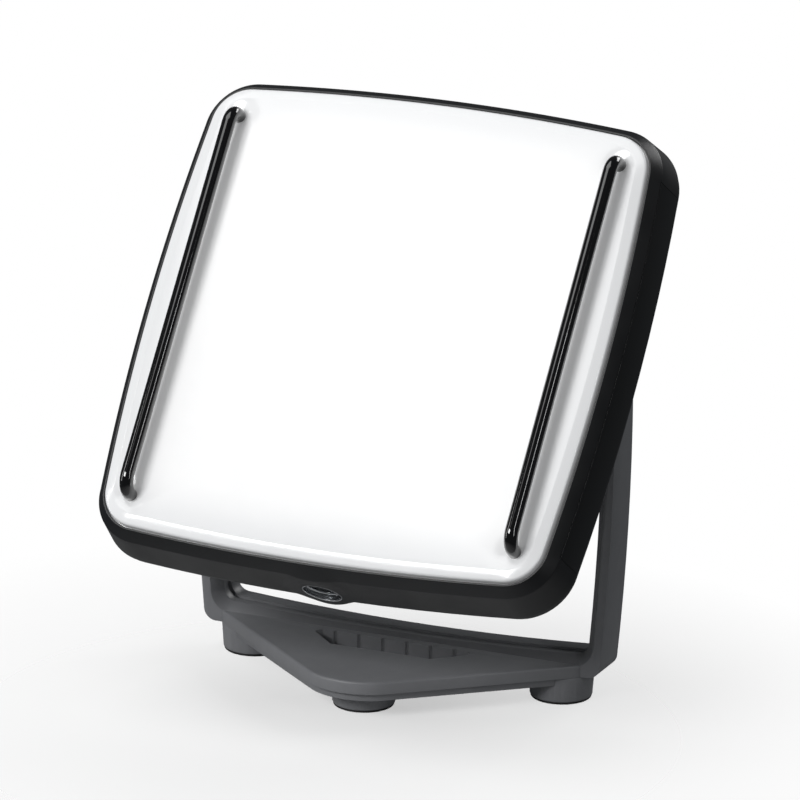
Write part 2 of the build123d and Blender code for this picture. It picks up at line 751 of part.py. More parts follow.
def pivot_insert(side, at):
    boss = BOX_HALF_W + PIVOT_BOSS_OUT
    ends = on_side(side, boss - BOLT_THREAD_LENGTH - 0.5, boss - 0.1)
    body = rod_x(INSERT_WALL_R - 0.02, *ends, at)
    return body - rod_x(BOLT_THREAD_R + SLIP, ends[0] - 1, ends[1] + 1, at)


def friction_washer(side, at):
    boss = BOX_HALF_W + PIVOT_BOSS_OUT
    ends = on_side(side, boss, boss + WASHER_THICK)
    body = rod_x(PIVOT_BOSS_R - 0.5, *ends, at)
    return body - rod_x(BOLT_SHOULDER_R + SEAT, ends[0] - 1, ends[1] + 1, at)


def pivot_bush(side):
    at = (PIVOT_Y, PIVOT_Z)
    ends = on_side(side, arm_inside() + 0.1, pocket_floor() - 0.1)
    body = rod_x(BOLT_SHOULDER_R + SLIP + BUSH_WALL, *ends, at)
    return body - rod_x(BOLT_SHOULDER_R + SLIP, ends[0] - 1, ends[1] + 1, at)


def pivot_cap(side):
    at = (PIVOT_Y, PIVOT_Z)
    ends = on_side(side, ARM_HALF_W - CAP_THICK, ARM_HALF_W + 0.1)
    return rod_x(CAP_POCKET_R - 0.03, *ends, at)


# ---- stand ----
def bowed_pair(half_w, radius, mid_z):
    """Region between two side arcs that bow outwards, drawn in x and z."""
    return (Pos(half_w - radius, mid_z) * Circle(radius)) & (Pos(radius - half_w, mid_z) * Circle(radius))


def opening_face(grow):
    """The window of the stand frame, grown into the frame by grow."""
    sides = bowed_pair(arm_inside() + grow, ARM_BOW_R - ARM_THICK + grow, ARM_BOW_Z)
    sill = Pos(0, CROSSBAR_TOP_Z - grow + CROSSBAR_BOW_R) * Circle(CROSSBAR_BOW_R)
    face = sides & sill
    low = face.vertices().group_by(Axis.Y)[0]
    return fillet(low, OPENING_CORNER_R + grow)


def opening_relief():
    """Wide chamfer round the front of the window, and a shallow channel behind it."""
    front = Plane(origin=(0, ARM_FRONT_Y, 0), x_dir=(1, 0, 0), z_dir=(0, -1, 0))
    back = Plane(origin=(0, ARM_FRONT_Y + CHAMFER_DEPTH, 0), x_dir=(1, 0, 0), z_dir=(0, -1, 0))
    chamfer = loft([front * opening_face(CHAMFER_WIDTH), back * opening_face(0)], ruled=True)
    return chamfer + along_y(opening_face(CHANNEL_DEPTH), CHANNEL_LOW_Y, CHANNEL_HIGH_Y)


def stand_frame():
    rear = ARM_FRONT_Y + ARM_DEPTH
    top = PIVOT_Z + HUB_R
    tall = Pos(0, (FRAME_BOTTOM_Z + top) / 2) * Rectangle(4 * ARM_HALF_W, top - FRAME_BOTTOM_Z)
    face = bowed_pair(ARM_HALF_W, ARM_BOW_R, ARM_BOW_Z) & tall
    face = fillet(face.vertices().group_by(Axis.Y)[0], FRAME_CORNER_R)
    body = along_y(face, PIVOT_Y - HUB_R, PIVOT_Y + HUB_R)
    height = PIVOT_Z - FRAME_BOTTOM_Z
    upright = Box(4 * ARM_HALF_W, ARM_DEPTH, height)
    reach = Pos(0, ARM_FRONT_Y + ARM_DEPTH / 2, FRAME_BOTTOM_Z + height / 2) * upright
    hub = rod_x(HUB_R, -2 * ARM_HALF_W, 2 * ARM_HALF_W, (PIVOT_Y, PIVOT_Z))
    body = body & (reach + hub)
    body = body - along_y(opening_face(0), ARM_FRONT_Y - 20, rear + 20)
    at = (PIVOT_Y, PIVOT_Z)
    body = body - (opening_relief() - rod_x(HUB_R + 1, -2 * ARM_HALF_W, 2 * ARM_HALF_W, at))
    body = body - rod_x(HUB_R + 1, -arm_inside(), arm_inside(), at)
    for side in SIDES.values():
        body = body - rod_x(BOLT_SHOULDER_R + SLIP + BUSH_WALL + 0.02, *on_side(side, 60, 100), at)
        body = body - rod_x(CAP_POCKET_R, *on_side(side, pocket_floor(), 100), at)
    for x in (-REAR_FOOT_X, REAR_FOOT_X):
        body = body - disc(FOOT_SCREW_R + SLIP, 0, FOOT_SCREW_TOP_Z + 0.5, (x, 0))
    for x in base_screw_places():
        body = body - disc(BASE_SCREW_HOLE_R, 0, BASE_SCREW_TOP_Z + 0.5, (x, BASE_SCREW_Y))
    return body


def base_screw_places():
    return (-REAR_FOOT_X / 2, REAR_FOOT_X / 2)


def foot_places():
    return {"rear_left": (-REAR_FOOT_X, 0), "rear_right": (REAR_FOOT_X, 0), "front": (0, FRONT_FOOT_Y)}


def foot_top_r():
    return FOOT_R + FOOT_FLARE


def plate_outline(inset):
    """Triangle with one large round tip at the front and a round corner at each rear foot."""
    tip_r, rear_r = PLATE_TIP_R - inset, foot_top_r() - inset
    reach = math.hypot(REAR_FOOT_X, PLATE_TIP_Y)
    turn = math.atan2(-PLATE_TIP_Y, REAR_FOOT_X) + math.asin((tip_r - rear_r) / reach)
    side, fore = math.sin(turn), math.cos(turn)
    right = [
        (tip_r * side, PLATE_TIP_Y - tip_r * fore),
        (REAR_FOOT_X + rear_r * side, -rear_r * fore),
        (REAR_FOOT_X, rear_r),
    ]
    left = [(-x, y) for x, y in reversed(right)]
    face = make_face(Polyline(*right, *left, close=True))
    for x, y, radius in ((0, PLATE_TIP_Y, tip_r), (-REAR_FOOT_X, 0, rear_r), (REAR_FOOT_X, 0, rear_r)):
        face = face + Pos(x, y) * Circle(radius)
    return face


def finger_face():
    """Finger opening: wide at the crossbar and narrower towards the tip."""
    slant = 2.5
    points = [
        (-FINGER_HALF_TOP + slant, FINGER_FAR_Y), (FINGER_HALF_TOP - slant, FINGER_FAR_Y),
        (FINGER_HALF_TOP, FINGER_FAR_Y - slant), (FINGER_HALF_NEAR, FINGER_NEAR_Y),
        (-FINGER_HALF_NEAR, FINGER_NEAR_Y), (-FINGER_HALF_TOP, FINGER_FAR_Y - slant),
    ]
    face = make_face(Polyline(*points, close=True))
    return fillet(face.vertices(), 1.5)


def base_plate():
    front_only = Pos(0, ARM_FRONT_Y - SEAT - 100, 0) * Box(400, 200, 100)
    top = slab(plate_outline(0), FRAME_BOTTOM_Z, PLATE_TOP_Z) & front_only
    top = fillet(top.edges().group_by(Axis.Z)[-1], PLATE_ROUND)
    deck = slab(plate_outline(DECK_INSET), DECK_BOTTOM_Z, FRAME_BOTTOM_Z)
    body = top + deck
    body = body - slab(finger_face(), 0, 50)
    for i in range(GRIP_GROOVES):
        x = (i - (GRIP_GROOVES - 1) / 2) * GRIP_PITCH
        body = body - disc(GRIP_GROOVE_R, 0, 50, (x, FINGER_FAR_Y))
    for place in foot_places().values():
        body = body - disc(foot_top_r() + SLIP, 0, FRAME_BOTTOM_Z, place)
        body = body - disc(FOOT_SCREW_R + SLIP, 0, FOOT_SCREW_TOP_Z + 0.5, place)
    for x in base_screw_places():
        body = body - disc(BASE_SCREW_HOLE_R + SEAT, 0, 50, (x, BASE_SCREW_Y))
        body = body - disc(BASE_PAN_ROOM, 0, base_screw_seat(), (x, BASE_SCREW_Y))
    return body


def base_screw_seat():
    return DECK_BOTTOM_Z + BASE_PAN_THICK + SEAT


def base_screw(x):
    low = base_screw_seat()
    at = (x, BASE_SCREW_Y)
    head = disc(BASE_PAN_R, low - BASE_PAN_THICK, low, at)
    return head + disc(BASE_SCREW_R, low - 0.5, BASE_SCREW_TOP_Z, at)


# ---- feet ----
def magnet_low():
    return FOOT_PAD_THICK + 0.6


def foot_cup(place):
    """Round foot, a little wider at the top, hollow below for the magnet."""
    height = FRAME_BOTTOM_Z - FOOT_PAD_THICK
    middle = Pos(place[0], place[1], FOOT_PAD_THICK + height / 2)
    body = middle * Cone(FOOT_R, foot_top_r(), height)
    body = body - disc(MAGNET_R + SEAT, 0, magnet_low() + MAGNET_THICK + SEAT, place)
    return body - disc(FOOT_SCREW_R + SLIP, 0, 50, place)


def foot_magnet(place):
    low = magnet_low()
    body = disc(MAGNET_R, low, low + MAGNET_THICK, place)
    sink = Pos(place[0], place[1], low + 1.1) * Cone(4.3, 2.1, 2.2)
    return body - sink - disc(FOOT_SCREW_R + SLIP, 0, 50, place)


def foot_pad(place):
    low = disc(FOOT_R - 0.3, 0, FOOT_PAD_THICK, place)
    low = chamfer(low.edges().group_by(Axis.Z)[0], 0.3)
    return low + disc(MAGNET_R - SEAT, FOOT_PAD_THICK - 0.2, magnet_low(), place)


def foot_screw(place):
    low = magnet_low() + 0.05
    head = Pos(place[0], place[1], low + 1.05) * Cone(4.2, 2.0, 2.1)
    return head + disc(FOOT_SCREW_R, low + 1, FOOT_SCREW_TOP_Z, place)


# ---- assembly ----
def head_location():
    """Where the head's own frame sits, so that its pivot falls on the stand's pivot."""
    lean = math.radians(REST_TILT)
    up = (math.sin(lean), math.cos(lean))
    out = (-math.cos(lean), math.sin(lean))
    y = PIVOT_Y - PIVOT_UP_HEAD * up[0] + PIVOT_BACK_HEAD * out[0]
    z = PIVOT_Z - PIVOT_UP_HEAD * up[1] + PIVOT_BACK_HEAD * out[1]
    return Location((0, y, z), (90 - REST_TILT, 0, 0))


def add_head():
    at = pivot_place()
    driver_top = -DRIVER_BACK + BOARD_THICK
    head = {
        "front_bezel": front_bezel(),
        "mid_frame": mid_frame(),
        "rear_housing": rear_housing(),
        "diffuser_lens": diffuser_lens(),
        "lens_gasket": lens_gasket(),
        "guard_bar_seals": group(bar_seal(place) for place in bar_places()),
        "guard_bar_screws": group(bar_screw(place) for place in bar_places()),
        "case_screws": group(case_screw(place) for place in case_screw_places()),
        "tripod_insert": tripod_insert(),
        "heat_spreader": heat_spreader(),
        "led_board": led_board(),
        "leds": leds(),
        "board_screws": group(board_screw(place) for place in spreader_post_places()),
        "reflector_frame": reflector_frame(),
        "battery_cells": battery_cells(),
        "cell_links": cell_links(),
        "battery_holder": battery_holder(),
        "driver_board": driver_board(),
        "driver_components": driver_components(),
        "driver_screws": group(small_screw(place, driver_top) for place in driver_post_places()),
        "switch_board": switch_board(),
        "switch_board_screws": group(small_screw(at, -SWITCH_BOARD_FRONT) for at in switch_post_places()),
        "power_switch": switch(POWER_AT),
        "mode_switch": switch(MODE_AT),
        "power_switch_plunger": plunger(POWER_AT),
        "mode_switch_plunger": plunger(MODE_AT),
        "power_button": button(POWER_AT, POWER_R),
        "mode_button": button(MODE_AT, MODE_R),
        "control_panel": control_panel(),
        "indicator_lenses": indicator_lenses(),
        "usb_socket": usb_socket(),
        "port_cover": port_cover(),
        "port_hinge_pin": port_hinge_pin(),
    }
    for name, side in SIDES.items():
        head["side_strip_" + name] = side_strip(side)
        head["guard_bar_" + name] = guard_bar(side)
        head["pivot_bolt_" + name] = pivot_bolt(side, at)
        head["pivot_insert_" + name] = pivot_insert(side, at)
        head["friction_washer_" + name] = friction_washer(side, at)
    place = head_location()
    for name, solid in head.items():
        parts[name] = place * solid


def add_stand():
    parts["stand_frame"] = stand_frame()
    parts["base_plate"] = base_plate()
    parts["base_screws"] = group(base_screw(x) for x in base_screw_places())
    parts["foot_screws"] = group(foot_screw(place) for place in foot_places().values())
    for name, place in foot_places().items():
        parts["foot_cup_" + name] = foot_cup(place)
        parts["foot_magnet_" + name] = foot_magnet(place)
        parts["foot_pad_" + name] = foot_pad(place)
    for name, side in SIDES.items():
        parts["pivot_bush_" + name] = pivot_bush(side)
        parts["pivot_cap_" + name] = pivot_cap(side)


def report_places(shift):
    """Print the joint and mount places, in metres, in the finished part's frame."""
    place = shift * head_location()

    def world(x, y, z):
        point = (place * Pos(x, y, z)).position
        return [round(value / 1000, 6) for value in point]

    def direction(x, y, z):
        far, near = (place * Pos(x, y, z)).position, place.position
        return [round(a - b, 6) for a, b in zip(far, near)]

    print("pivot", world(0, *pivot_place()))
    print("back", direction(0, 0, -1), "up", direction(0, 1, 0))
    print("power", world(*POWER_AT, BACK_FACE), "mode", world(*MODE_AT, BACK_FACE))
    print("cover hinge", world(0, *cover_hinge()))
    print("socket", world(0, socket_face_y() + 0.2 + SOCKET_CHAMFER, SOCKET_Z))
    for name, (x, y) in foot_places().items():
        print("foot", name, [round(x / 1000, 6), round((y + shift.position.Y) / 1000, 6), 0])
    print("head frame", world(0, 0, 0), "shift", round(shift.position.Y, 4))


def main():
    os.makedirs("parts", exist_ok=True)
    add_stand()
    add_head()
    boxes = [solid.bounding_box() for solid in parts.values()]
    front, rear = min(box.min.Y for box in boxes), max(box.max.Y for box in boxes)
    shift = Location((0, -(front + rear) / 2, 0))
    for name, solid in parts.items():
        export_step(shift * solid, "parts/" + name + ".step")
    report_places(shift)


main()
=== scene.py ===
import json
import math

import bmesh
import bpy
from mathutils import Matrix, Vector


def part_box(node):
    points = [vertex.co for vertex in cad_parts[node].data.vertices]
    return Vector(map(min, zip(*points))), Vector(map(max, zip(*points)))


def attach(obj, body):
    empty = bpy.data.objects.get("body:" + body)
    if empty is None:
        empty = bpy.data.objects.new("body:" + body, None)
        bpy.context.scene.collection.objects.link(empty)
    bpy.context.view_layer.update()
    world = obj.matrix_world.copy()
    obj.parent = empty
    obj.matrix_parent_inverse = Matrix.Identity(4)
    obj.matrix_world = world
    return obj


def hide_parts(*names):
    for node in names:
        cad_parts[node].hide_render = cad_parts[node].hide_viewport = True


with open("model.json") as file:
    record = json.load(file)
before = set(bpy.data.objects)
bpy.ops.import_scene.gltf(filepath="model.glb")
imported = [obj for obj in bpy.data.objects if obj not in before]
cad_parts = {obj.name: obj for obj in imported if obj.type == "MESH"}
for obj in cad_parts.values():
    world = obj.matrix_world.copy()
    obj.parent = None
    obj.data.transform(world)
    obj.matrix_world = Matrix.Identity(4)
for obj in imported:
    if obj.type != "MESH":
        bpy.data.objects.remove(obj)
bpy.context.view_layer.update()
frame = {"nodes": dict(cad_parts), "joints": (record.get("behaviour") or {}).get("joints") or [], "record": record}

# Sizes are millimetres in the head's own frame (x across, y up the face, z out of it) or in the
# stand's frame (z up from the floor), and the two frames below turn them to metres in place.
MM = 0.001
REST_TILT = math.radians(37.9)
PIVOT_UP_HEAD = 7.6
PIVOT_BACK_HEAD = 38.4

# ---- head outline: a square with bowed sides and round corners ----
LENS_HALF_W = 93.0
LENS_HALF_H = 93.9
SIDE_BOW_R = 925.0
CORNER_R = 15.0

# ---- lens ----
LENS_RISE = 3.0
LENS_GAP = 0.15
LENS_WALL = 2.5
LENS_EDGE_Z = 1.9
LENS_ROLL_R = 1.2
LENS_SHOULDER = 4.2
LENS_SHOULDER_R = 3.0
LENS_RIM = 6.5
FLANGE_LOW = -4.4
FLANGE_HIGH = -2.4
LENS_FLANGE_OUT = 1.8
LENS_SIDE_STEPS = 84
LENS_CORNER_STEPS = 30
LENS_FINE_STEP = 0.0105
LENS_FINE_RINGS = 26
LENS_COARSE_SCALES = [0.6, 0.45, 0.3, 0.15, 0.02]
LENS_BACK_SCALES = (0.6, 0.3, 0.02)
DIMPLE_DEPTH = 1.5
DIMPLE_SPREAD = 4.6

# ---- bezel and its side strips ----
GROOVE = 0.5
LIP_OUT = 1.15
LIP_RISE = 0.3
LIP_EDGE = 0.14
BEVEL_OUT = 4.5
BEVEL_Z = -4.4
BEVEL_ROUND = 1.2
RIM_OUT = 6.5
RIM_Z = -19.7
RIM_ROUND = 0.5
RIM_WALL = 2.2
WALL_FIRST_STEP = 0.12
BEZEL_SIDE_STEPS = 26
BEZEL_CORNER_STEPS = 18
STRIP_HALF_L = 76.0
STRIP_STEPS = 28
STRIP_END_GAP = 0.05
STRIP_THICK = 1.4
STRIP_EDGE = 0.22
SEAM = 0.12

# ---- tripod socket in the bottom of the rim ----
SOCKET_Z = -17.0
SOCKET_MOUTH_Y = -99.9
SOCKET_BOSS_R = 11.0
SOCKET_DEPTH = 15.0
SOCKET_FLOOR_GAP = 0.3
SOCKET_FLOOR_THICK = 1.5
AXIS_R = 0.01
INSERT_R = 8.7
RING_R = 7.9
RING_BORE_R = 7.3
THREAD_ROOT_R = 7.75
THREAD_PITCH = 2.3
THREAD_TURNS = 5.5
THREAD_HEIGHT = 0.85
BULGE_HALF = 17.0
BULGE_BACK = 8.6

# ---- guard bars ----
BAR_R = 2.65
BAR_X = 78.6
BAR_LEG_Y = 78.6
BAR_RISE = 9.8
BAR_BEND_R = 6.0
BAR_LEG_DEPTH = 17.0

# ---- rear of the head ----
FLANGE_BACK = -22.4
SCREW_HEAD_R = 2.2
SCREW_HEAD_H = 1.3
BAR_SCREW_HEAD_R = 2.7
BAR_SCREW_HEAD_H = 1.5
RECESS_SHARE = 0.3
CROWN_SHARE = 0.78
RECESS_REACH = 1.1
CASE_SCREW_OUT = 1.9
CASE_SCREW_SPREAD = 48.0

# ---- camera, fitted to the way the object is seen ----
CAMERA_AZIMUTH = math.radians(23.41)
CAMERA_ELEVATION = math.radians(17.52)
CAMERA_ROLL = math.radians(0.69)
CAMERA_LENS = 364.8
CAMERA_SENSOR = 36.0
CAMERA_DISTANCE = 3127.5
CAMERA_ACROSS = -2.541
CAMERA_UP = 104.405

# ---- copies of CAD nodes: points closer than this are merged, and narrow lands are closed up ----
MERGE = 0.002
LANDS = {"stand_frame": 0.32}

# ---- floor, in metres: its size, how much of it is white body rather than clear, and where ----
FLOOR_HALF = 6.0
FLOOR_BODY = 0.5
FLOOR_MIDDLE = (0, -0.06, 0)
FLOOR_NEAR = 0.04
FLOOR_FAR = 0.24

SIDES = {"left": -1, "right": 1}


# ---- frames ----
def joint_place(name):
    """A joint's place in metres."""
    return next(Vector(joint["pos_m"]) for joint in frame["joints"] if joint["name"] == name)


def head_frame():
    """Matrix from the head's millimetres to metres in the part's frame, at rest."""
    up = Vector((0, math.sin(REST_TILT), math.cos(REST_TILT)))
    out = Vector((0, -math.cos(REST_TILT), math.sin(REST_TILT)))
    origin = joint_place("head_tilt") - PIVOT_UP_HEAD * MM * up + PIVOT_BACK_HEAD * MM * out
    turned = Matrix((Vector((1, 0, 0)), up, out)).transposed().to_4x4()
    return Matrix.Translation(origin) @ turned @ Matrix.Scale(MM, 4)


def stand_frame():
    """Matrix from the stand's millimetres, measured from between the rear feet, to metres."""
    low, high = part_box("foot_pad_rear_left")
    return Matrix.Translation((0, (low.y + high.y) / 2, 0)) @ Matrix.Scale(MM, 4)


HEAD = head_frame()
STAND = stand_frame()
# the socket's frame has its origin at the mouth and z pointing in along the bore
SOCKET = HEAD @ Matrix.Translation((0, SOCKET_MOUTH_Y, SOCKET_Z)) @ Matrix.Rotation(-math.pi / 2, 4, "X")


# ---- outline of the head ----
def corner_centre():
    """Centre of the top right corner's arc, which touches both side arcs from inside."""
    across, upright = SIDE_BOW_R - LENS_HALF_W, SIDE_BOW_R - LENS_HALF_H
    middle = Vector((-across / 2, -upright / 2))
    rise = math.sqrt((SIDE_BOW_R - CORNER_R) ** 2 - (across**2 + upright**2) / 4)
    return middle + Vector((upright, across)).normalized() * rise


def quarter(side_count, corner_count):
    """Points and normals of the outline from the middle of the right side to the middle of the top."""
    cx, cy = corner_centre()
    start = math.atan2(cy, cx + SIDE_BOW_R - LENS_HALF_W)
    finish = math.pi / 2 - math.atan2(cx, cy + SIDE_BOW_R - LENS_HALF_H)
    made = []
    for i in range(side_count):
        a = start * i / side_count
        made.append((LENS_HALF_W - SIDE_BOW_R + SIDE_BOW_R * math.cos(a), SIDE_BOW_R * math.sin(a), a))
    for i in range(corner_count):
        a = start + (finish - start) * i / corner_count
        made.append((cx + CORNER_R * math.cos(a), cy + CORNER_R * math.sin(a), a))
    for i in range(side_count):
        a = finish + (math.pi / 2 - finish) * i / side_count
        x, y = SIDE_BOW_R * math.cos(a), LENS_HALF_H - SIDE_BOW_R + SIDE_BOW_R * math.sin(a)
        made.append((x, y, a))
    return made


def outline_stations(side_count, corner_count):
    """Stations all round the lens edge, anticlockwise: (x, y, normal x, normal y)."""
    first = quarter(side_count, corner_count)
    first = [(x, y, math.cos(a), math.sin(a)) for x, y, a in first]
    second = [(-x, y, -nx, ny) for x, y, nx, ny in reversed(first[1:] + [(0, LENS_HALF_H, 0, 1)])]
    upper = first + second
    lower = [(-x, -y, -nx, -ny) for x, y, nx, ny in upper]
    return upper + lower


def side_station(side, y):
    """Station on the left or right side at a height y."""
    a = math.asin(y / SIDE_BOW_R)
    x = LENS_HALF_W - SIDE_BOW_R + SIDE_BOW_R * math.cos(a)
    return (side * x, y, side * math.cos(a), math.sin(a))


def bottom_station(x):
    """Station on the bottom side at x."""
    a = math.asin(x / SIDE_BOW_R)
    y = SIDE_BOW_R * math.cos(a) - SIDE_BOW_R + LENS_HALF_H
    return (x, -y, math.sin(a), -math.cos(a))


def at_station(station, out, z):
    """The point outwards from a station by a distance, at a height over the lens edge."""
    x, y, nx, ny = station
    return Vector((x + nx * out, y + ny * out, z))


# ---- mesh helpers ----
def rounded_path(corners, closed=False, steps=6):
    """A path through (a, b, radius) corners, each corner with a radius drawn as an arc."""
    made = []
    count = len(corners)
    for i, (a, b, radius) in enumerate(corners):
        here = Vector((a, b))
        if radius == 0 or (not closed and i in (0, count - 1)):
            made.append(here)
            continue
        before = (Vector(corners[i - 1][:2]) - here).normalized()
        after = (Vector(corners[(i + 1) % count][:2]) - here).normalized()
        half = before.angle(after) / 2
        centre = here + (before + after).normalized() * radius / math.sin(half)
        start = here + before * radius / math.tan(half) - centre
        end = here + after * radius / math.tan(half) - centre
        turn = start.angle_signed(end)
        for k in range(steps + 1):
            a = -turn * k / steps
            made.append(centre + Matrix.Rotation(a, 2) @ start)
    return [tuple(point) for point in made]


def loft(rings, wrap=False):
    """Vertices and quads through closed rings of equal count; the ends are capped unless wrapped."""
    count = len(rings[0])
    verts = [point for ring in rings for point in ring]
    faces = []
    last = len(rings) if wrap else len(rings) - 1
    for i in range(last):
        a, b = i * count, ((i + 1) % len(rings)) * count
        for j in range(count):
            k = (j + 1) % count
            faces.append((a + j, a + k, b + k, b + j))
    if not wrap:
        faces.append(tuple(reversed(range(count))))
        faces.append(tuple(range(len(verts) - count, len(verts))))
    return verts, faces


def lathe(profile, count):
    """Closed turned shape about z from a profile loop of (radius, height) points."""
    turns = [2 * math.pi * i / count for i in range(count)]
    rings = [[Vector((r * math.cos(a), r * math.sin(a), z)) for r, z in profile] for a in turns]
    return loft(rings, wrap=True)


def new_piece(name, verts, faces, place, sharp=40):
    """A mesh object at the origin whose vertices are put in place by a frame matrix."""
    mesh = bpy.data.meshes.new(name)
    mesh.from_pydata([place @ Vector(v) for v in verts], [], faces)
    piece = bpy.data.objects.new(name, mesh)
    bpy.context.scene.collection.objects.link(piece)
    outward(mesh)
    shade(mesh, sharp)
    return piece


def outward(mesh):
    """Turn the faces of a closed shell so that they point out of it."""
    work = bmesh.new()
    work.from_mesh(mesh)
    bmesh.ops.recalc_face_normals(work, faces=work.faces)
    work.to_mesh(mesh)
    work.free()


def shade(mesh, sharp):
    """Smooth shading that breaks at edges sharper than an angle in degrees."""
    mesh.shade_smooth()
    mesh.set_sharp_from_angle(angle=math.radians(sharp))


def settle(piece):
    """Turn an object's modifiers into its plain mesh."""
    shown = piece.evaluated_get(bpy.context.evaluated_depsgraph_get())
    final = bpy.data.meshes.new_from_object(shown)
    piece.modifiers.clear()
    piece.data = final
    return piece


def hand_over(piece, body, material, slot, *nodes):
    """Give a finished piece its material and its body, and hide the CAD nodes it stands for; the slot is not used.
    """
    piece.data.materials.clear()
    piece.data.materials.append(material)
    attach(piece, body)
    if nodes:
        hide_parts(*nodes)
    return piece


def softened(node, width, narrow, segments=2, angle=28):
    """A CAD node's copy with sharp edges rounded and narrow lands closed up, in millimetres."""
    copy = frame["nodes"][node].copy()
    copy.data = copy.data.copy()
    copy.parent = None
    copy.name = node + "_moulded"
    for key in list(copy.keys()):
        del copy[key]
    bpy.context.scene.collection.objects.link(copy)
    work = bmesh.new()
    work.from_mesh(copy.data)
    bmesh.ops.remove_doubles(work, verts=work.verts, dist=narrow * MM)
    edges, verts = work.edges, work.verts
    bmesh.ops.dissolve_limit(work, angle_limit=math.radians(0.4), verts=verts, edges=edges)
    work.to_mesh(copy.data)
    work.free()
    bevel = copy.modifiers.new("round edges", "BEVEL")
    bevel.width = width * MM
    bevel.segments = segments
    bevel.limit_method = "ANGLE"
    bevel.angle_limit = math.radians(angle)
    bevel.use_clamp_overlap = True
    bevel.miter_outer = "MITER_ARC"
    settle(copy)
    shade(copy.data, 32)
    return copy


# ---- node trees ----
def linear(code):
    """An sRGB hex colour as linear RGBA."""
    parts = [int(code[i:i + 2], 16) / 255 for i in (0, 2, 4)]
    return [v / 12.92 if v <= 0.04045 else ((v + 0.055) / 1.055) ** 2.4 for v in parts] + [1.0]


def add(tree, kind, values=None, links=None, **settings):
    """Add a node with its settings, its input values and the sockets that feed it."""
    made = tree.nodes.new(kind)
    for name, value in settings.items():
        setattr(made, name, value)
    for key, value in (values or {}).items():
        made.inputs[key].default_value = value
    for key, source in (links or {}).items():
        tree.links.new(source, made.inputs[key])
    return made


def per_mm(size):
    """Noise scale, in metres of object space, for a pattern of a size in millimetres."""
    return 1 / (size * MM)


def start_material(name):
    """An empty material with its object coordinates, a principled shader and an output."""
    material = bpy.data.materials.new(name)
    material.use_nodes = True
    tree = material.node_tree
    tree.nodes.clear()
    coords = add(tree, "ShaderNodeTexCoord").outputs["Object"]
    shader = add(tree, "ShaderNodeBsdfPrincipled")
    add(tree, "ShaderNodeOutputMaterial", links={"Surface": shader.outputs["BSDF"]})
    return material, tree, coords, shader


def noise_at(tree, coords, size, detail=3.0):
    """Noise whose patches have a size in millimetres."""
    values = {"Scale": per_mm(size), "Detail": detail}
    return add(tree, "ShaderNodeTexNoise", values, {"Vector": coords}).outputs["Fac"]


def spread(tree, source, low, high):
    """Map the middle of a noise's range to a pair of values."""
    values = {"From Min": 0.3, "From Max": 0.7, "To Min": low, "To Max": high}
    return add(tree, "ShaderNodeMapRange", values, {"Value": source}).outputs["Result"]


def tinted(tree, factor, dark, light):
    """A colour between two sRGB hex colours."""
    mix = add(tree, "ShaderNodeMix", {"A": linear(dark), "B": linear(light)}, data_type="RGBA")
    tree.links.new(factor, mix.inputs["Factor"])
    return mix.outputs["Result"]


def rough_skin(tree, shader, coords, grain, depth, rough):
    """Fine moulded texture: bump of a grain size and depth in millimetres, and uneven gloss."""
    fine = noise_at(tree, coords, grain)
    values = {"Strength": 1.0, "Distance": depth * MM}
    bump = add(tree, "ShaderNodeBump", values, {"Height": fine})
    tree.links.new(bump.outputs["Normal"], shader.inputs["Normal"])
    patchy = noise_at(tree, coords, grain * 40, 2.0)
    tree.links.new(spread(tree, patchy, rough[0], rough[1]), shader.inputs["Roughness"])


def two_tone(tree, shader, coords, size, dark, light):
    """Colour that drifts a little over patches of a size in millimetres."""
    drift = noise_at(tree, coords, size, 2.0)
    tree.links.new(tinted(tree, drift, dark, light), shader.inputs["Base Color"])


def spark_eroded_abs():
    """Black ABS from a spark-eroded mould: satin, with a grain of about 0.4 mm that breaks highlights."""
    material, tree, coords, shader = start_material("spark_eroded_black_abs")
    two_tone(tree, shader, coords, 35, "101113", "151618")
    rough_skin(tree, shader, coords, 0.4, 0.016, (0.36, 0.44))
    shader.inputs["IOR"].default_value = 1.53
    return material


def polished_edge_abs():
    """Black ABS from the polished part of the mould: side strips with crisp, shiny edges."""
    material, tree, coords, shader = start_material("polished_edge_black_abs")
    two_tone(tree, shader, coords, 30, "0c0d0e", "101112")
    rough_skin(tree, shader, coords, 0.5, 0.008, (0.27, 0.34))
    shader.inputs["IOR"].default_value = 1.53
    return material


def glass_filled_nylon():
    """Dark grey glass-filled nylon: matt and slightly mottled, with an even grain of 0.45 mm."""
    material, tree, coords, shader = start_material("glass_filled_grey_nylon")
    two_tone(tree, shader, coords, 6, "757679", "7d7e81")
    rough_skin(tree, shader, coords, 0.45, 0.03, (0.40, 0.50))
    shader.inputs["IOR"].default_value = 1.53
    return material


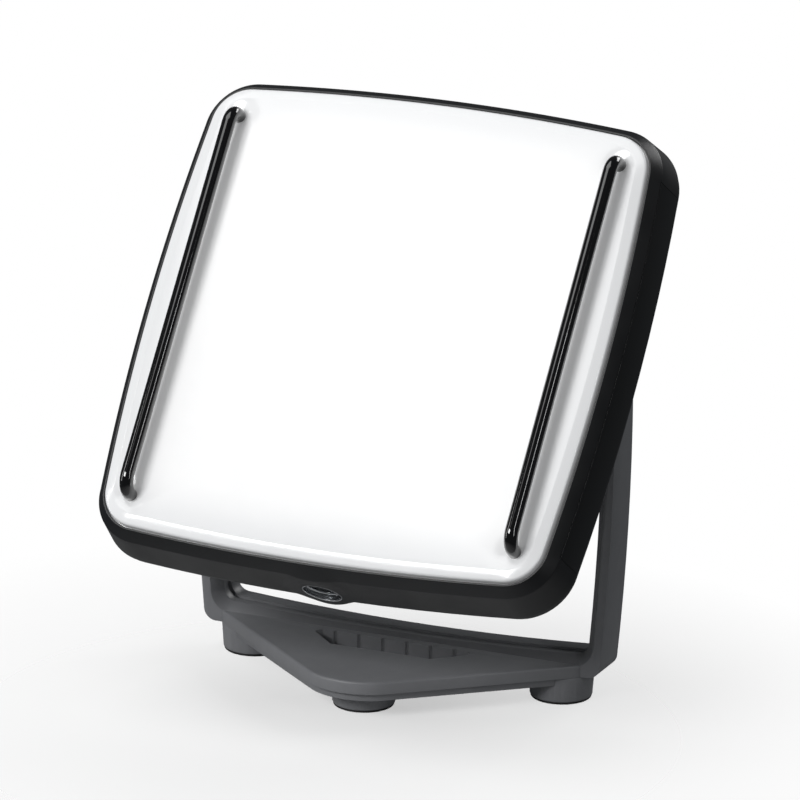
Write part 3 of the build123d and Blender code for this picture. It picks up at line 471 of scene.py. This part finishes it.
def opal_polycarbonate_painted_glow():
    """Injection moulded opal polycarbonate: glossy white, with a painted glow and painted shade that both fall off
    towards its rim.
    """
    material, tree, coords, shader = start_material("opal_polycarbonate_painted_glow")
    inward = add(tree, "ShaderNodeAttribute", attribute_name="inward_mm").outputs["Fac"]
    values = {"From Min": 0.0, "From Max": 26.0, "To Min": 0.0, "To Max": 1.0}
    links = {"Value": inward}
    reach = add(tree, "ShaderNodeMapRange", values, links, interpolation_type="SMOOTHSTEP").outputs["Result"]
    # painted shade: the base colour is darker towards the lens's rim, over its outer 26 mm
    tree.links.new(tinted(tree, reach, "e6e7e8", "eeeeee"), shader.inputs["Base Color"])
    # painted glow: emission that stands in for light on the lens, dimmer towards its rim
    tree.links.new(tinted(tree, reach, "b0b0b0", "ffffff"), shader.inputs["Emission Color"])
    haze = noise_at(tree, coords, 9, 2.0)
    tree.links.new(spread(tree, haze, 0.10, 0.16), shader.inputs["Roughness"])
    ripple = noise_at(tree, coords, 14, 1.0)
    bump = add(tree, "ShaderNodeBump", {"Strength": 0.6, "Distance": 0.02 * MM}, {"Height": ripple})
    tree.links.new(bump.outputs["Normal"], shader.inputs["Normal"])
    # strength of the painted glow
    shader.inputs["Emission Strength"].default_value = 0.2
    shader.inputs["IOR"].default_value = 1.585
    return material


def moulded_rubber():
    """Black moulded rubber: matt, with a fine blasted texture and a slight bloom."""
    material, tree, coords, shader = start_material("moulded_black_rubber")
    two_tone(tree, shader, coords, 12, "111112", "1a1a1b")
    rough_skin(tree, shader, coords, 0.3, 0.012, (0.62, 0.74))
    return material


def powder_coated_rod():
    """Gloss black powder coat on bent steel rod: long sharp highlights with slight orange peel."""
    material, tree, coords, shader = start_material("gloss_black_powder_coat")
    two_tone(tree, shader, coords, 20, "040405", "070708")
    peel = noise_at(tree, coords, 1.6, 1.5)
    bump = add(tree, "ShaderNodeBump", {"Strength": 0.5, "Distance": 0.012 * MM}, {"Height": peel})
    tree.links.new(bump.outputs["Normal"], shader.inputs["Normal"])
    tree.links.new(spread(tree, peel, 0.07, 0.11), shader.inputs["Roughness"])
    shader.inputs["Coat Weight"].default_value = 1.0
    shader.inputs["Coat Roughness"].default_value = 0.06
    return material


def metal(name, dark, light, grain, depth, rough):
    """A metal that is all metal: tone, fine surface and gloss from the values given."""
    material, tree, coords, shader = start_material(name)
    two_tone(tree, shader, coords, grain * 12, dark, light)
    rough_skin(tree, shader, coords, grain, depth, rough)
    shader.inputs["Metallic"].default_value = 1.0
    return material


def plain_plastic(name, dark, light, grain, depth, rough):
    """A moulded plastic: tone, fine surface and gloss from the values given."""
    material, tree, coords, shader = start_material(name)
    two_tone(tree, shader, coords, grain * 30, dark, light)
    rough_skin(tree, shader, coords, grain, depth, rough)
    return material


def indicator_resin():
    """Clear acrylic light pipes: glossy and a little milky, over a dark panel."""
    material, tree, coords, shader = start_material("clear_indicator_acrylic")
    two_tone(tree, shader, coords, 2, "c9d4d6", "e3ecec")
    rough_skin(tree, shader, coords, 0.6, 0.004, (0.08, 0.14))
    shader.inputs["Transmission Weight"].default_value = 0.35
    shader.inputs["IOR"].default_value = 1.49
    return material


def translucent_sweep():
    """Translucent white acrylic lit from below: the floor, where only a faint shadow shows near by."""
    material, tree, coords, shader = start_material("translucent_acrylic_sweep")
    two_tone(tree, shader, coords, 60, "f6f6f6", "fafafa")
    rough_skin(tree, shader, coords, 1.5, 0.02, (0.85, 0.92))
    shader.inputs["Specular IOR Level"].default_value = 0.1
    clear = add(tree, "ShaderNodeBsdfTransparent").outputs["BSDF"]
    away = add(tree, "ShaderNodeVectorMath", {1: FLOOR_MIDDLE}, {0: coords}, operation="DISTANCE")
    reach = away.outputs["Value"]
    values = {"From Min": FLOOR_NEAR, "From Max": FLOOR_FAR, "To Min": FLOOR_BODY, "To Max": 0.0}
    body = add(tree, "ShaderNodeMapRange", values, {"Value": reach}).outputs["Result"]
    links = {"Fac": body, 1: clear, 2: shader.outputs["BSDF"]}
    both = add(tree, "ShaderNodeMixShader", links=links)
    output = next(node for node in tree.nodes if node.type == "OUTPUT_MATERIAL")
    tree.links.new(both.outputs["Shader"], output.inputs["Surface"])
    return material


MATERIALS = {
    "housing_black": spark_eroded_abs(),
    "stand_grey": glass_filled_nylon(),
    "lens_opal": opal_polycarbonate_painted_glow(),
    "seal_rubber": moulded_rubber(),
    "bar_black": powder_coated_rod(),
    "bright_steel": metal("zinc_plated_steel", "b4b6b9", "cfd1d3", 0.5, 0.006, (0.16, 0.26)),
    "insert_brass": metal("turned_brass", "b08d4f", "c9a767", 0.4, 0.005, (0.22, 0.3)),
    "bush_white": plain_plastic("natural_acetal", "dddcd6", "e9e8e3", 0.5, 0.006, (0.34, 0.42)),
    "reflector_white": plain_plastic("white_reflector_film", "eceded", "f6f7f7", 0.4, 0.006, (0.4, 0.5)),
    "spreader_aluminium": metal("mill_finish_aluminium", "a9abad", "c4c6c8", 0.6, 0.006, (0.28, 0.38)),
    "led_yellow": plain_plastic("led_phosphor", "d9b52f", "e8c84a", 0.3, 0.004, (0.3, 0.36)),
    "cell_sleeve": plain_plastic("heat_shrink_sleeve", "1f4f7d", "28608f", 0.8, 0.006, (0.24, 0.32)),
    "holder_black": plain_plastic("moulded_holder_abs", "1b1c1e", "232427", 0.5, 0.012, (0.42, 0.5)),
    "board_green": plain_plastic("solder_resist", "1c5a38", "23683f", 0.9, 0.01, (0.28, 0.36)),
    "panel_black": plain_plastic("textured_panel_abs", "151617", "1b1c1e", 0.35, 0.014, (0.44, 0.54)),
    "button_grey": plain_plastic("soft_touch_button", "4a4c4f", "54565a", 0.4, 0.012, (0.5, 0.6)),
    "indicator_clear": indicator_resin(),
}
STRIP_MATERIAL = polished_edge_abs()


# ---- geometry node trees ----
def start_growth(name, sizes):
    """A geometry node tree with a mesh input, named size inputs, and its two ends."""
    tree = bpy.data.node_groups.new(name, "GeometryNodeTree")
    sides = tree.interface
    sides.new_socket("Geometry", in_out="OUTPUT", socket_type="NodeSocketGeometry")
    sides.new_socket("Geometry", in_out="INPUT", socket_type="NodeSocketGeometry")
    for size in sizes:
        sides.new_socket(size, in_out="INPUT", socket_type="NodeSocketFloat")
    sides.new_socket("Facing", in_out="INPUT", socket_type="NodeSocketVector")
    sides.new_socket("Material", in_out="INPUT", socket_type="NodeSocketMaterial")
    entry = add(tree, "NodeGroupInput")
    return tree, entry.outputs


def end_growth(tree, entry, source):
    """Realize, paint and send out what the tree has made."""
    real = add(tree, "GeometryNodeRealizeInstances", links={"Geometry": source})
    links = {"Geometry": real.outputs["Geometry"], "Material": entry["Material"]}
    painted = add(tree, "GeometryNodeSetMaterial", links=links)
    add(tree, "NodeGroupOutput", links={"Geometry": painted.outputs["Geometry"]})


def grown(name, tree, places, edges, place, slot, sizes, facing=(0, 0, 1)):
    """Grow a tree on points or a route in millimetres, and turn the result into a plain mesh in place."""
    mesh = bpy.data.meshes.new(name)
    mesh.from_pydata(places, edges, [])
    piece = bpy.data.objects.new(name, mesh)
    bpy.context.scene.collection.objects.link(piece)
    growth = piece.modifiers.new("growth", "NODES")
    growth.node_group = tree
    given = dict(sizes, Facing=facing, Material=MATERIALS[slot])
    for item in tree.interface.items_tree:
        if item.in_out == "INPUT" and item.name in given:
            growth[item.identifier] = given[item.name]
    settle(piece)
    piece.data.transform(place)
    shade(piece.data, 40)
    return piece


def bent_rod_tree():
    """A round rod along a route of straight runs, with its bends rounded."""
    tree, entry = start_growth("bent_rod", ("Rod radius", "Bend radius"))
    route = add(tree, "GeometryNodeMeshToCurve", links={"Mesh": entry["Geometry"]})
    links = {"Curve": route.outputs["Curve"], "Radius": entry["Bend radius"]}
    bent = add(tree, "GeometryNodeFilletCurve", {"Count": 14}, links, mode="POLY")
    ring = add(tree, "GeometryNodeCurvePrimitiveCircle", {"Resolution": 36})
    tree.links.new(entry["Rod radius"], ring.inputs["Radius"])
    links = {"Curve": bent.outputs["Curve"], "Profile Curve": ring.outputs["Curve"]}
    rod = add(tree, "GeometryNodeCurveToMesh", {"Fill Caps": True}, links)
    end_growth(tree, entry, rod.outputs["Mesh"])
    return tree


def pan_screw_tree():
    """Pan head screws with a cross recess, one on each point, all facing one way."""
    tree, entry = start_growth("pan_screws", ("Head radius", "Head height", "Recess width"))
    values = {"Vertices": 32, "Side Segments": 1}
    links = {"Radius Bottom": entry["Head radius"], "Depth": entry["Head height"]}
    crown = add(tree, "ShaderNodeMath", {1: CROWN_SHARE}, {0: entry["Head radius"]}, operation="MULTIPLY")
    head = add(tree, "GeometryNodeMeshCone", values, links)
    tree.links.new(crown.outputs[0], head.inputs["Radius Top"])
    reach = add(tree, "ShaderNodeMath", {1: RECESS_REACH}, {0: entry["Head radius"]}, operation="MULTIPLY")
    arms = []
    for across, along in (("Recess width", reach), (reach, "Recess width")):
        sizes = [entry[v] if isinstance(v, str) else v.outputs[0] for v in (across, along)]
        links = {"X": sizes[0], "Y": sizes[1], "Z": entry["Head height"]}
        size = add(tree, "ShaderNodeCombineXYZ", links=links)
        arms.append(add(tree, "GeometryNodeMeshCube", links={"Size": size.outputs["Vector"]}))
    lift = add(tree, "ShaderNodeCombineXYZ", links={"Z": entry["Head height"]})
    cut = head
    for arm in arms:
        links = {"Geometry": arm.outputs["Mesh"], "Translation": lift.outputs["Vector"]}
        raised = add(tree, "GeometryNodeTransform", links=links)
        links = {"Mesh 1": cut.outputs["Mesh"], "Mesh 2": raised.outputs["Geometry"]}
        cut = add(tree, "GeometryNodeMeshBoolean", links=links, operation="DIFFERENCE", solver="EXACT")
    turn = add(tree, "FunctionNodeAlignRotationToVector", links={"Vector": entry["Facing"]})
    links = {"Points": entry["Geometry"], "Instance": cut.outputs["Mesh"]}
    heads = add(tree, "GeometryNodeInstanceOnPoints", links=links)
    tree.links.new(turn.outputs["Rotation"], heads.inputs["Rotation"])
    end_growth(tree, entry, heads.outputs["Instances"])
    return tree


def thread_tree():
    """A rolled internal thread: a round ridge that climbs inside a bore."""
    sizes = ("Root radius", "Pitch", "Turns", "Ridge radius")
    tree, entry = start_growth("rolled_thread", sizes)
    links = {"Rotations": entry["Turns"], "Start Radius": entry["Root radius"]}
    climb = add(tree, "ShaderNodeMath", None, {0: entry["Pitch"], 1: entry["Turns"]}, operation="MULTIPLY")
    helix = add(tree, "GeometryNodeCurveSpiral", {"Resolution": 72}, links)
    tree.links.new(entry["Root radius"], helix.inputs["End Radius"])
    tree.links.new(climb.outputs[0], helix.inputs["Height"])
    ridge = add(tree, "GeometryNodeCurvePrimitiveCircle", {"Resolution": 10})
    tree.links.new(entry["Ridge radius"], ridge.inputs["Radius"])
    links = {"Curve": helix.outputs["Curve"], "Profile Curve": ridge.outputs["Curve"]}
    thread = add(tree, "GeometryNodeCurveToMesh", {"Fill Caps": True}, links)
    end_growth(tree, entry, thread.outputs["Mesh"])
    return tree


# ---- head: lens, bezel, strips and bars ----
def bar_places():
    """Places of the guard bars' four legs on the face."""
    return [(a * BAR_X, b * BAR_LEG_Y) for a in (-1, 1) for b in (-1, 1)]


def dimple(x, y):
    """How deep the lens is pressed in around the guard bars' legs, at a place."""
    near = min((x - bx) ** 2 + (y - by) ** 2 for bx, by in bar_places())
    return DIMPLE_DEPTH * math.exp(-near / DIMPLE_SPREAD**2)


def lens():
    """The diffuser: two convex turns near its edge, a flat face, dimples and a 2.5 mm wall."""
    stations = outline_stations(LENS_SIDE_STEPS, LENS_CORNER_STEPS)
    roll = [
        (LENS_FLANGE_OUT, FLANGE_LOW, 0), (LENS_FLANGE_OUT, FLANGE_HIGH, 0),
        (-LENS_GAP, FLANGE_HIGH, 0), (-LENS_GAP, LENS_EDGE_Z, LENS_ROLL_R),
        (-LENS_SHOULDER, LENS_RISE, LENS_SHOULDER_R), (-LENS_RIM, LENS_RISE, 0),
    ]
    rim = [at_station(station, -LENS_RIM, 0) for station in stations]
    fine = [1 - LENS_FINE_STEP * i for i in range(1, LENS_FINE_RINGS + 1)]
    face = fine + LENS_COARSE_SCALES
    inner = -LENS_GAP - LENS_WALL
    rings, depths = [], []
    for scale in reversed(face):
        rings.append([Vector((v.x * scale, v.y * scale, LENS_RISE)) for v in rim])
        depths.append(LENS_RIM + (1 - scale) * LENS_HALF_W)
    for out, z in reversed(rounded_path(roll)):
        rings.append([at_station(station, out, z) for station in stations])
        depths.append(max(-out, 0))
    back = LENS_RISE - LENS_WALL
    hollow = [(inner, FLANGE_LOW, 0), (inner, back, 1), (-LENS_RIM, back, 0)]
    for out, z in rounded_path(hollow):
        rings.append([at_station(station, out, z) for station in stations])
        depths.append(-out)
    for scale in LENS_BACK_SCALES:
        rings.append([Vector((v.x * scale, v.y * scale, back)) for v in rim])
        depths.append(LENS_RIM + (1 - scale) * LENS_HALF_W)
    flange_rings = 4
    front = len(face) + len(rounded_path(roll)) - flange_rings
    for ring in rings[:front]:
        for point in ring:
            point.z -= dimple(point.x, point.y)
    verts, faces = loft(rings)
    piece = new_piece("opal_lens", verts, faces, HEAD, 50)
    # inward_mm is the depth in from the rim; it drives the lens's painted glow and painted rim shade
    inward = piece.data.attributes.new("inward_mm", "FLOAT", "POINT")
    count = len(stations)
    inward.data.foreach_set("value", [depth for depth in depths for _ in range(count)])
    hand_over(piece, "head", MATERIALS["lens_opal"], "lens_opal", "diffuser_lens")


def in_strip_zone(station):
    """Whether a station lies on a straight side, between the ends of its strip."""
    y, normal_x = station[1:3]
    return abs(normal_x) > 0.9 and abs(y) < STRIP_HALF_L


def bezel_corners(in_strip):
    """Corners of the bezel's section, with the strip's seat let into its side where there is one."""
    inset = STRIP_THICK + SEAM if in_strip else 0
    start = 0.0 if in_strip else WALL_FIRST_STEP
    wall = []
    for t in [start] + [0.2 + 0.1 * i for i in range(8)]:
        out = BEVEL_OUT + (RIM_OUT - BEVEL_OUT) * t - inset
        wall.append((out, BEVEL_Z + (RIM_Z - BEVEL_Z) * t, 0))
    return [
        (GROOVE, FLANGE_HIGH, 0), (GROOVE, LIP_RISE, LIP_EDGE), (LIP_OUT, LIP_RISE, LIP_EDGE),
        (BEVEL_OUT, BEVEL_Z, STRIP_EDGE if in_strip else BEVEL_ROUND), *wall,
        (RIM_OUT - inset, RIM_Z, RIM_ROUND), (RIM_OUT - RIM_WALL, RIM_Z, 0),
        (LENS_FLANGE_OUT + LENS_GAP, FLANGE_LOW, 0), (LENS_FLANGE_OUT + LENS_GAP, FLANGE_HIGH, 0),
    ]


def bulged(station, out, z):
    """A bezel point, drawn back and levelled where the rim swells round the tripod socket."""
    x, y = station[:2]
    if y > 0 or abs(x) > BULGE_HALF:
        return at_station(station, out, z)
    swell = 0.5 + 0.5 * math.cos(math.pi * x / BULGE_HALF)
    depth = min(max((BEVEL_Z - z) / (BEVEL_Z - RIM_Z), 0), 1)
    skin = min(max((out - LIP_OUT) / (BEVEL_OUT - LIP_OUT), 0), 1)
    if z < BEVEL_Z - 1:
        skin = 1 if out > BEVEL_OUT - 0.01 else 0
    z -= BULGE_BACK * swell * depth**1.5
    near = (BULGE_HALF - math.hypot(x, z - SOCKET_Z)) / (BULGE_HALF - SOCKET_BOSS_R)
    near = min(max(near, 0), 1)
    level = -SOCKET_MOUTH_Y - LENS_HALF_H
    return at_station(station, out + (level - out) * skin * near**2 * (3 - 2 * near), z)


def bezel():
    """The rim round the lens, swept round the outline, with seats for the strips and the socket."""
    stations = outline_stations(BEZEL_SIDE_STEPS, BEZEL_CORNER_STEPS)
    stations = [s for s in stations if not (s[1] < 0 and abs(s[0]) < BULGE_HALF + 1)]
    stations += [bottom_station(x) for x in range(int(-BULGE_HALF), int(BULGE_HALF) + 1)]
    for side in SIDES.values():
        for y in (-STRIP_HALF_L, STRIP_HALF_L):
            stations += [side_station(side, y - STRIP_END_GAP), side_station(side, y + STRIP_END_GAP)]
    stations.sort(key=lambda s: math.atan2(s[1], s[0]))
    rings = []
    for station in stations:
        section = rounded_path(bezel_corners(in_strip_zone(station)), closed=True)
        rings.append([bulged(station, out, z) for out, z in section])
    verts, faces = loft(rings, wrap=True)
    piece = new_piece("bezel", verts, faces, HEAD)
    bore = RING_R + 0.05
    cutter_profile = [(AXIS_R, -8), (bore, -8), (bore, 14), (AXIS_R, 14)]
    cutter = new_piece("socket_cutter", *lathe(cutter_profile, 64), SOCKET)
    cut = piece.modifiers.new("socket hole", "BOOLEAN")
    cut.operation = "DIFFERENCE"
    cut.solver = "EXACT"
    cut.object = cutter
    settle(piece)
    bpy.data.objects.remove(cutter)
    shade(piece.data, 38)
    hand_over(piece, "head", MATERIALS["housing_black"], "housing_black", "front_bezel")


def socket_boss():
    """The cup behind the rim that holds the insert; heights are depths in from its mouth."""
    bore = INSERT_R + 0.02
    floor = SOCKET_DEPTH + SOCKET_FLOOR_GAP
    end = floor + SOCKET_FLOOR_THICK
    corners = [
        (bore, RIM_WALL, 0), (SOCKET_BOSS_R, RIM_WALL, 0), (SOCKET_BOSS_R, end, 0.8),
        (AXIS_R, end, 0), (AXIS_R, floor, 0), (bore, floor, 0),
    ]
    piece = new_piece("socket_boss", *lathe(rounded_path(corners, closed=True), 72), SOCKET)
    hand_over(piece, "head", MATERIALS["housing_black"], "housing_black", "front_bezel")


def socket_insert():
    """The plated insert: a thin rounded ring at the mouth and, inside it, the thread."""
    corners = [
        (RING_BORE_R, 0.15, 0.15), (RING_R, -0.1, 0.2), (RING_R, RIM_WALL + 0.1, 0),
        (INSERT_R, RIM_WALL + 0.1, 0), (INSERT_R, SOCKET_DEPTH, 0), (THREAD_ROOT_R, SOCKET_DEPTH, 0),
        (THREAD_ROOT_R, 1.6, 0), (RING_BORE_R, 1.1, 0),
    ]
    body = new_piece("socket_insert", *lathe(rounded_path(corners, closed=True), 72), SOCKET)
    hand_over(body, "head", MATERIALS["bright_steel"], "bright_steel", "tripod_insert")
    sizes = {
        "Root radius": THREAD_ROOT_R, "Pitch": THREAD_PITCH,
        "Turns": THREAD_TURNS, "Ridge radius": THREAD_HEIGHT,
    }
    start = SOCKET @ Matrix.Translation((0, 0, THREAD_HEIGHT + 0.6))
    thread = grown("socket_thread", thread_tree(), [(0, 0, 0)], [], start, "bright_steel", sizes)
    hand_over(thread, "head", MATERIALS["bright_steel"], "bright_steel", "tripod_insert")


def side_strip(name, side):
    """A thin strip let into the side of the rim, with crisp edges."""
    corners = [
        (BEVEL_OUT, BEVEL_Z - SEAM, STRIP_EDGE), (RIM_OUT, RIM_Z, STRIP_EDGE),
        (RIM_OUT - STRIP_THICK, RIM_Z, 0), (BEVEL_OUT - STRIP_THICK, BEVEL_Z - SEAM, 0),
    ]
    half = STRIP_HALF_L - SEAM
    stations = [side_station(side, half * (2 * i / STRIP_STEPS - 1)) for i in range(STRIP_STEPS + 1)]
    section = rounded_path(corners, closed=True, steps=4)
    rings = [[at_station(station, out, z) for out, z in section] for station in stations]
    piece = new_piece("polished_strip_" + name, *loft(rings), HEAD)
    hand_over(piece, "head", STRIP_MATERIAL, "housing_black", "side_strip_" + name)


def guard_bars():
    """The two bent rods over the face."""
    rod = bent_rod_tree()
    sizes = {"Rod radius": BAR_R, "Bend radius": BAR_BEND_R}
    for name, side in SIDES.items():
        x = side * BAR_X
        route = [(x, -BAR_LEG_Y, -BAR_LEG_DEPTH), (x, -BAR_LEG_Y, BAR_RISE)]
        route += [(x, BAR_LEG_Y, BAR_RISE), (x, BAR_LEG_Y, -BAR_LEG_DEPTH)]
        edges = [(0, 1), (1, 2), (2, 3)]
        bar = grown("bent_bar_" + name, rod, route, edges, HEAD, "bar_black", sizes)
        hand_over(bar, "head", MATERIALS["bar_black"], "bar_black", "guard_bar_" + name)


# ---- head: screws on the back ----
def case_screw_places():
    """Two screws on each side of the rim, on the flange's centre line."""
    made = []
    for a in (-CASE_SCREW_SPREAD, CASE_SCREW_SPREAD):
        for side in SIDES.values():
            made.append(at_station(side_station(side, a), CASE_SCREW_OUT, 0))
        low = at_station(bottom_station(a), CASE_SCREW_OUT, 0)
        made += [low, Vector((low.x, -low.y, 0))]
    return made


def rear_screws():
    """Screw heads on the back of the flange, for the case and for the guard bars."""
    tree = pan_screw_tree()
    groups = (
        ("case_screws", case_screw_places(), SCREW_HEAD_R, SCREW_HEAD_H),
        ("guard_bar_screws", bar_places(), BAR_SCREW_HEAD_R, BAR_SCREW_HEAD_H),
    )
    for node, places, radius, height in groups:
        points = [(place[0], place[1], FLANGE_BACK) for place in places]
        sizes = {"Head radius": radius, "Head height": height, "Recess width": radius * RECESS_SHARE}
        down = (0, 0, -1)
        piece = grown(node + "_cross_head", tree, points, [], HEAD, "bright_steel", sizes, down)
        hand_over(piece, "head", MATERIALS["bright_steel"], "bright_steel", node)


# ---- moulded pieces whose shape is the frame's own ----
def moulded_copies():
    """Pieces that keep the frame's shape and gain rounded edges: node, width of the rounding."""
    slots = {"stand": "stand_grey", "head": "housing_black"}
    bodies = frame["record"]["behaviour"]["bodies"]
    body_of = {node: body for body, nodes in bodies.items() for node in nodes}
    widths = {
        "stand_frame": 0.45, "base_plate": 0.5, "foot_cup_rear_left": 0.5, "foot_cup_rear_right": 0.5,
        "foot_cup_front": 0.5, "foot_pad_rear_left": 0.15, "foot_pad_rear_right": 0.15,
        "foot_pad_front": 0.15, "pivot_cap_left": 0.3, "pivot_cap_right": 0.3,
        "mid_frame": 0.35, "rear_housing": 0.5, "control_panel": 0.2, "port_cover": 0.2,
        "power_button": 0.25, "mode_button": 0.25,
    }
    own_slot = {
        "control_panel": "panel_black", "port_cover": "seal_rubber", "power_button": "button_grey",
        "mode_button": "button_grey",
    }
    for node, width in widths.items():
        body = body_of[node]
        slot = own_slot.get(node, "seal_rubber" if "pad" in node else slots.get(body, "housing_black"))
        piece = softened(node, width, LANDS.get(node, MERGE))
        hand_over(piece, body, MATERIALS[slot], slot, node)


def paint_frame_nodes():
    """Give every CAD node that stays in view the material of its slot."""
    for node, item in frame["nodes"].items():
        slot = slot_of(node)
        item.data.materials.clear()
        item.data.materials.append(MATERIALS[slot])


def slot_of(node):
    """The slot of a CAD node, by the words in its name."""
    for words, slot in NODE_SLOTS:
        if any(word in node for word in words):
            return slot
    return "housing_black"


NODE_SLOTS = (
    (("foot_screws", "base_screws", "magnet", "_screws", "bolt", "hinge_pin", "cell_links"), "bright_steel"),
    (("usb_socket", "tripod_insert"), "bright_steel"),
    (("gasket", "seals", "pad", "port_cover"), "seal_rubber"),
    (("stand_frame", "base_plate", "foot_cup", "pivot_cap"), "stand_grey"),
    (("diffuser",), "lens_opal"),
    (("guard_bar",), "bar_black"),
    (("pivot_insert",), "insert_brass"),
    (("bush", "washer"), "bush_white"),
    (("reflector",), "reflector_white"),
    (("spreader",), "spreader_aluminium"),
    (("cells",), "cell_sleeve"),
    (("holder", "components", "switch_plunger", "power_switch", "mode_switch"), "holder_black"),
    (("board",), "board_green"),
    (("leds",), "led_yellow"),
    (("panel",), "panel_black"),
    (("button",), "button_grey"),
    (("indicator",), "indicator_clear"),
)


# ---- floor, lights and camera ----
def sweep_floor():
    """A large flat sheet for the floor."""
    half = FLOOR_HALF
    corners = [(-half, -half, 0), (half, -half, 0), (half, half, 0), (-half, half, 0)]
    mesh = bpy.data.meshes.new("white_sweep")
    mesh.from_pydata(corners, [], [(0, 1, 2, 3)])
    floor = bpy.data.objects.new("white_sweep", mesh)
    bpy.context.scene.collection.objects.link(floor)
    mesh.materials.append(translucent_sweep())


def soft_box(name, place, aim, size, watts):
    """A rectangular area light at a place in metres, turned to an aim."""
    lamp = bpy.data.lights.new(name, "AREA")
    lamp.shape = "RECTANGLE"
    lamp.size, lamp.size_y = size
    lamp.energy = watts
    box = bpy.data.objects.new(name, lamp)
    box.location = place
    box.rotation_mode = "QUATERNION"
    box.rotation_quaternion = (Vector(aim) - Vector(place)).to_track_quat("-Z", "Y")
    bpy.context.scene.collection.objects.link(box)


def studio():
    """A broad box overhead, a key from the left front and a narrow strip on each side."""
    aim = (0, 0, 0.1)
    soft_box("overhead_box", (-0.4, -0.3, 1.6), aim, (1.2, 1.2), 9)
    soft_box("front_key", (-0.8, -1.9, 1.35), aim, (1.1, 0.8), 34)
    soft_box("left_strip", (-1.3, -0.7, 0.5), aim, (0.1, 1.2), 3)
    soft_box("rear_fill", (0.9, 2.0, 1.2), aim, (1.2, 0.8), 14)
    soft_box("right_strip", (1.5, -0.7, 0.8), aim, (0.1, 1.2), 4)
    world = bpy.data.worlds.new("pale_room")
    bpy.context.scene.world = world
    world.use_nodes = True
    tree = world.node_tree
    tree.nodes.clear()
    seen = add(tree, "ShaderNodeLightPath").outputs["Is Camera Ray"]
    room = tinted(tree, seen, "46484a", "ffffff")
    glow = add(tree, "ShaderNodeBackground", {"Strength": 1.0}, {"Color": room})
    add(tree, "ShaderNodeOutputWorld", links={"Surface": glow.outputs["Background"]})


def camera():
    """The camera, placed by its angles, its distance and its offset from the stand's middle."""
    a, e, r = CAMERA_AZIMUTH, CAMERA_ELEVATION, CAMERA_ROLL
    back = Vector((math.sin(a) * math.cos(e), -math.cos(a) * math.cos(e), math.sin(e)))
    level = Vector((math.cos(a), math.sin(a), 0))
    right = math.cos(r) * level + math.sin(r) * back.cross(level)
    up = back.cross(right)
    data = bpy.data.cameras.new("camera")
    data.lens = CAMERA_LENS
    data.sensor_width = CAMERA_SENSOR
    data.clip_start, data.clip_end = 0.1, 50
    eye = bpy.data.objects.new("camera", data)
    start = STAND.to_translation()
    offset = CAMERA_ACROSS * right + CAMERA_UP * up + CAMERA_DISTANCE * back
    turned = Matrix((right, up, back)).transposed().to_4x4()
    eye.matrix_world = Matrix.Translation(start + offset * MM) @ turned
    bpy.context.scene.collection.objects.link(eye)
    bpy.context.scene.camera = eye
    bpy.context.scene.view_settings.view_transform = "Standard"


paint_frame_nodes()
lens()
bezel()
socket_boss()
socket_insert()
for strip_name, strip_side in SIDES.items():
    side_strip(strip_name, strip_side)
guard_bars()
rear_screws()
moulded_copies()
sweep_floor()
studio()
camera()
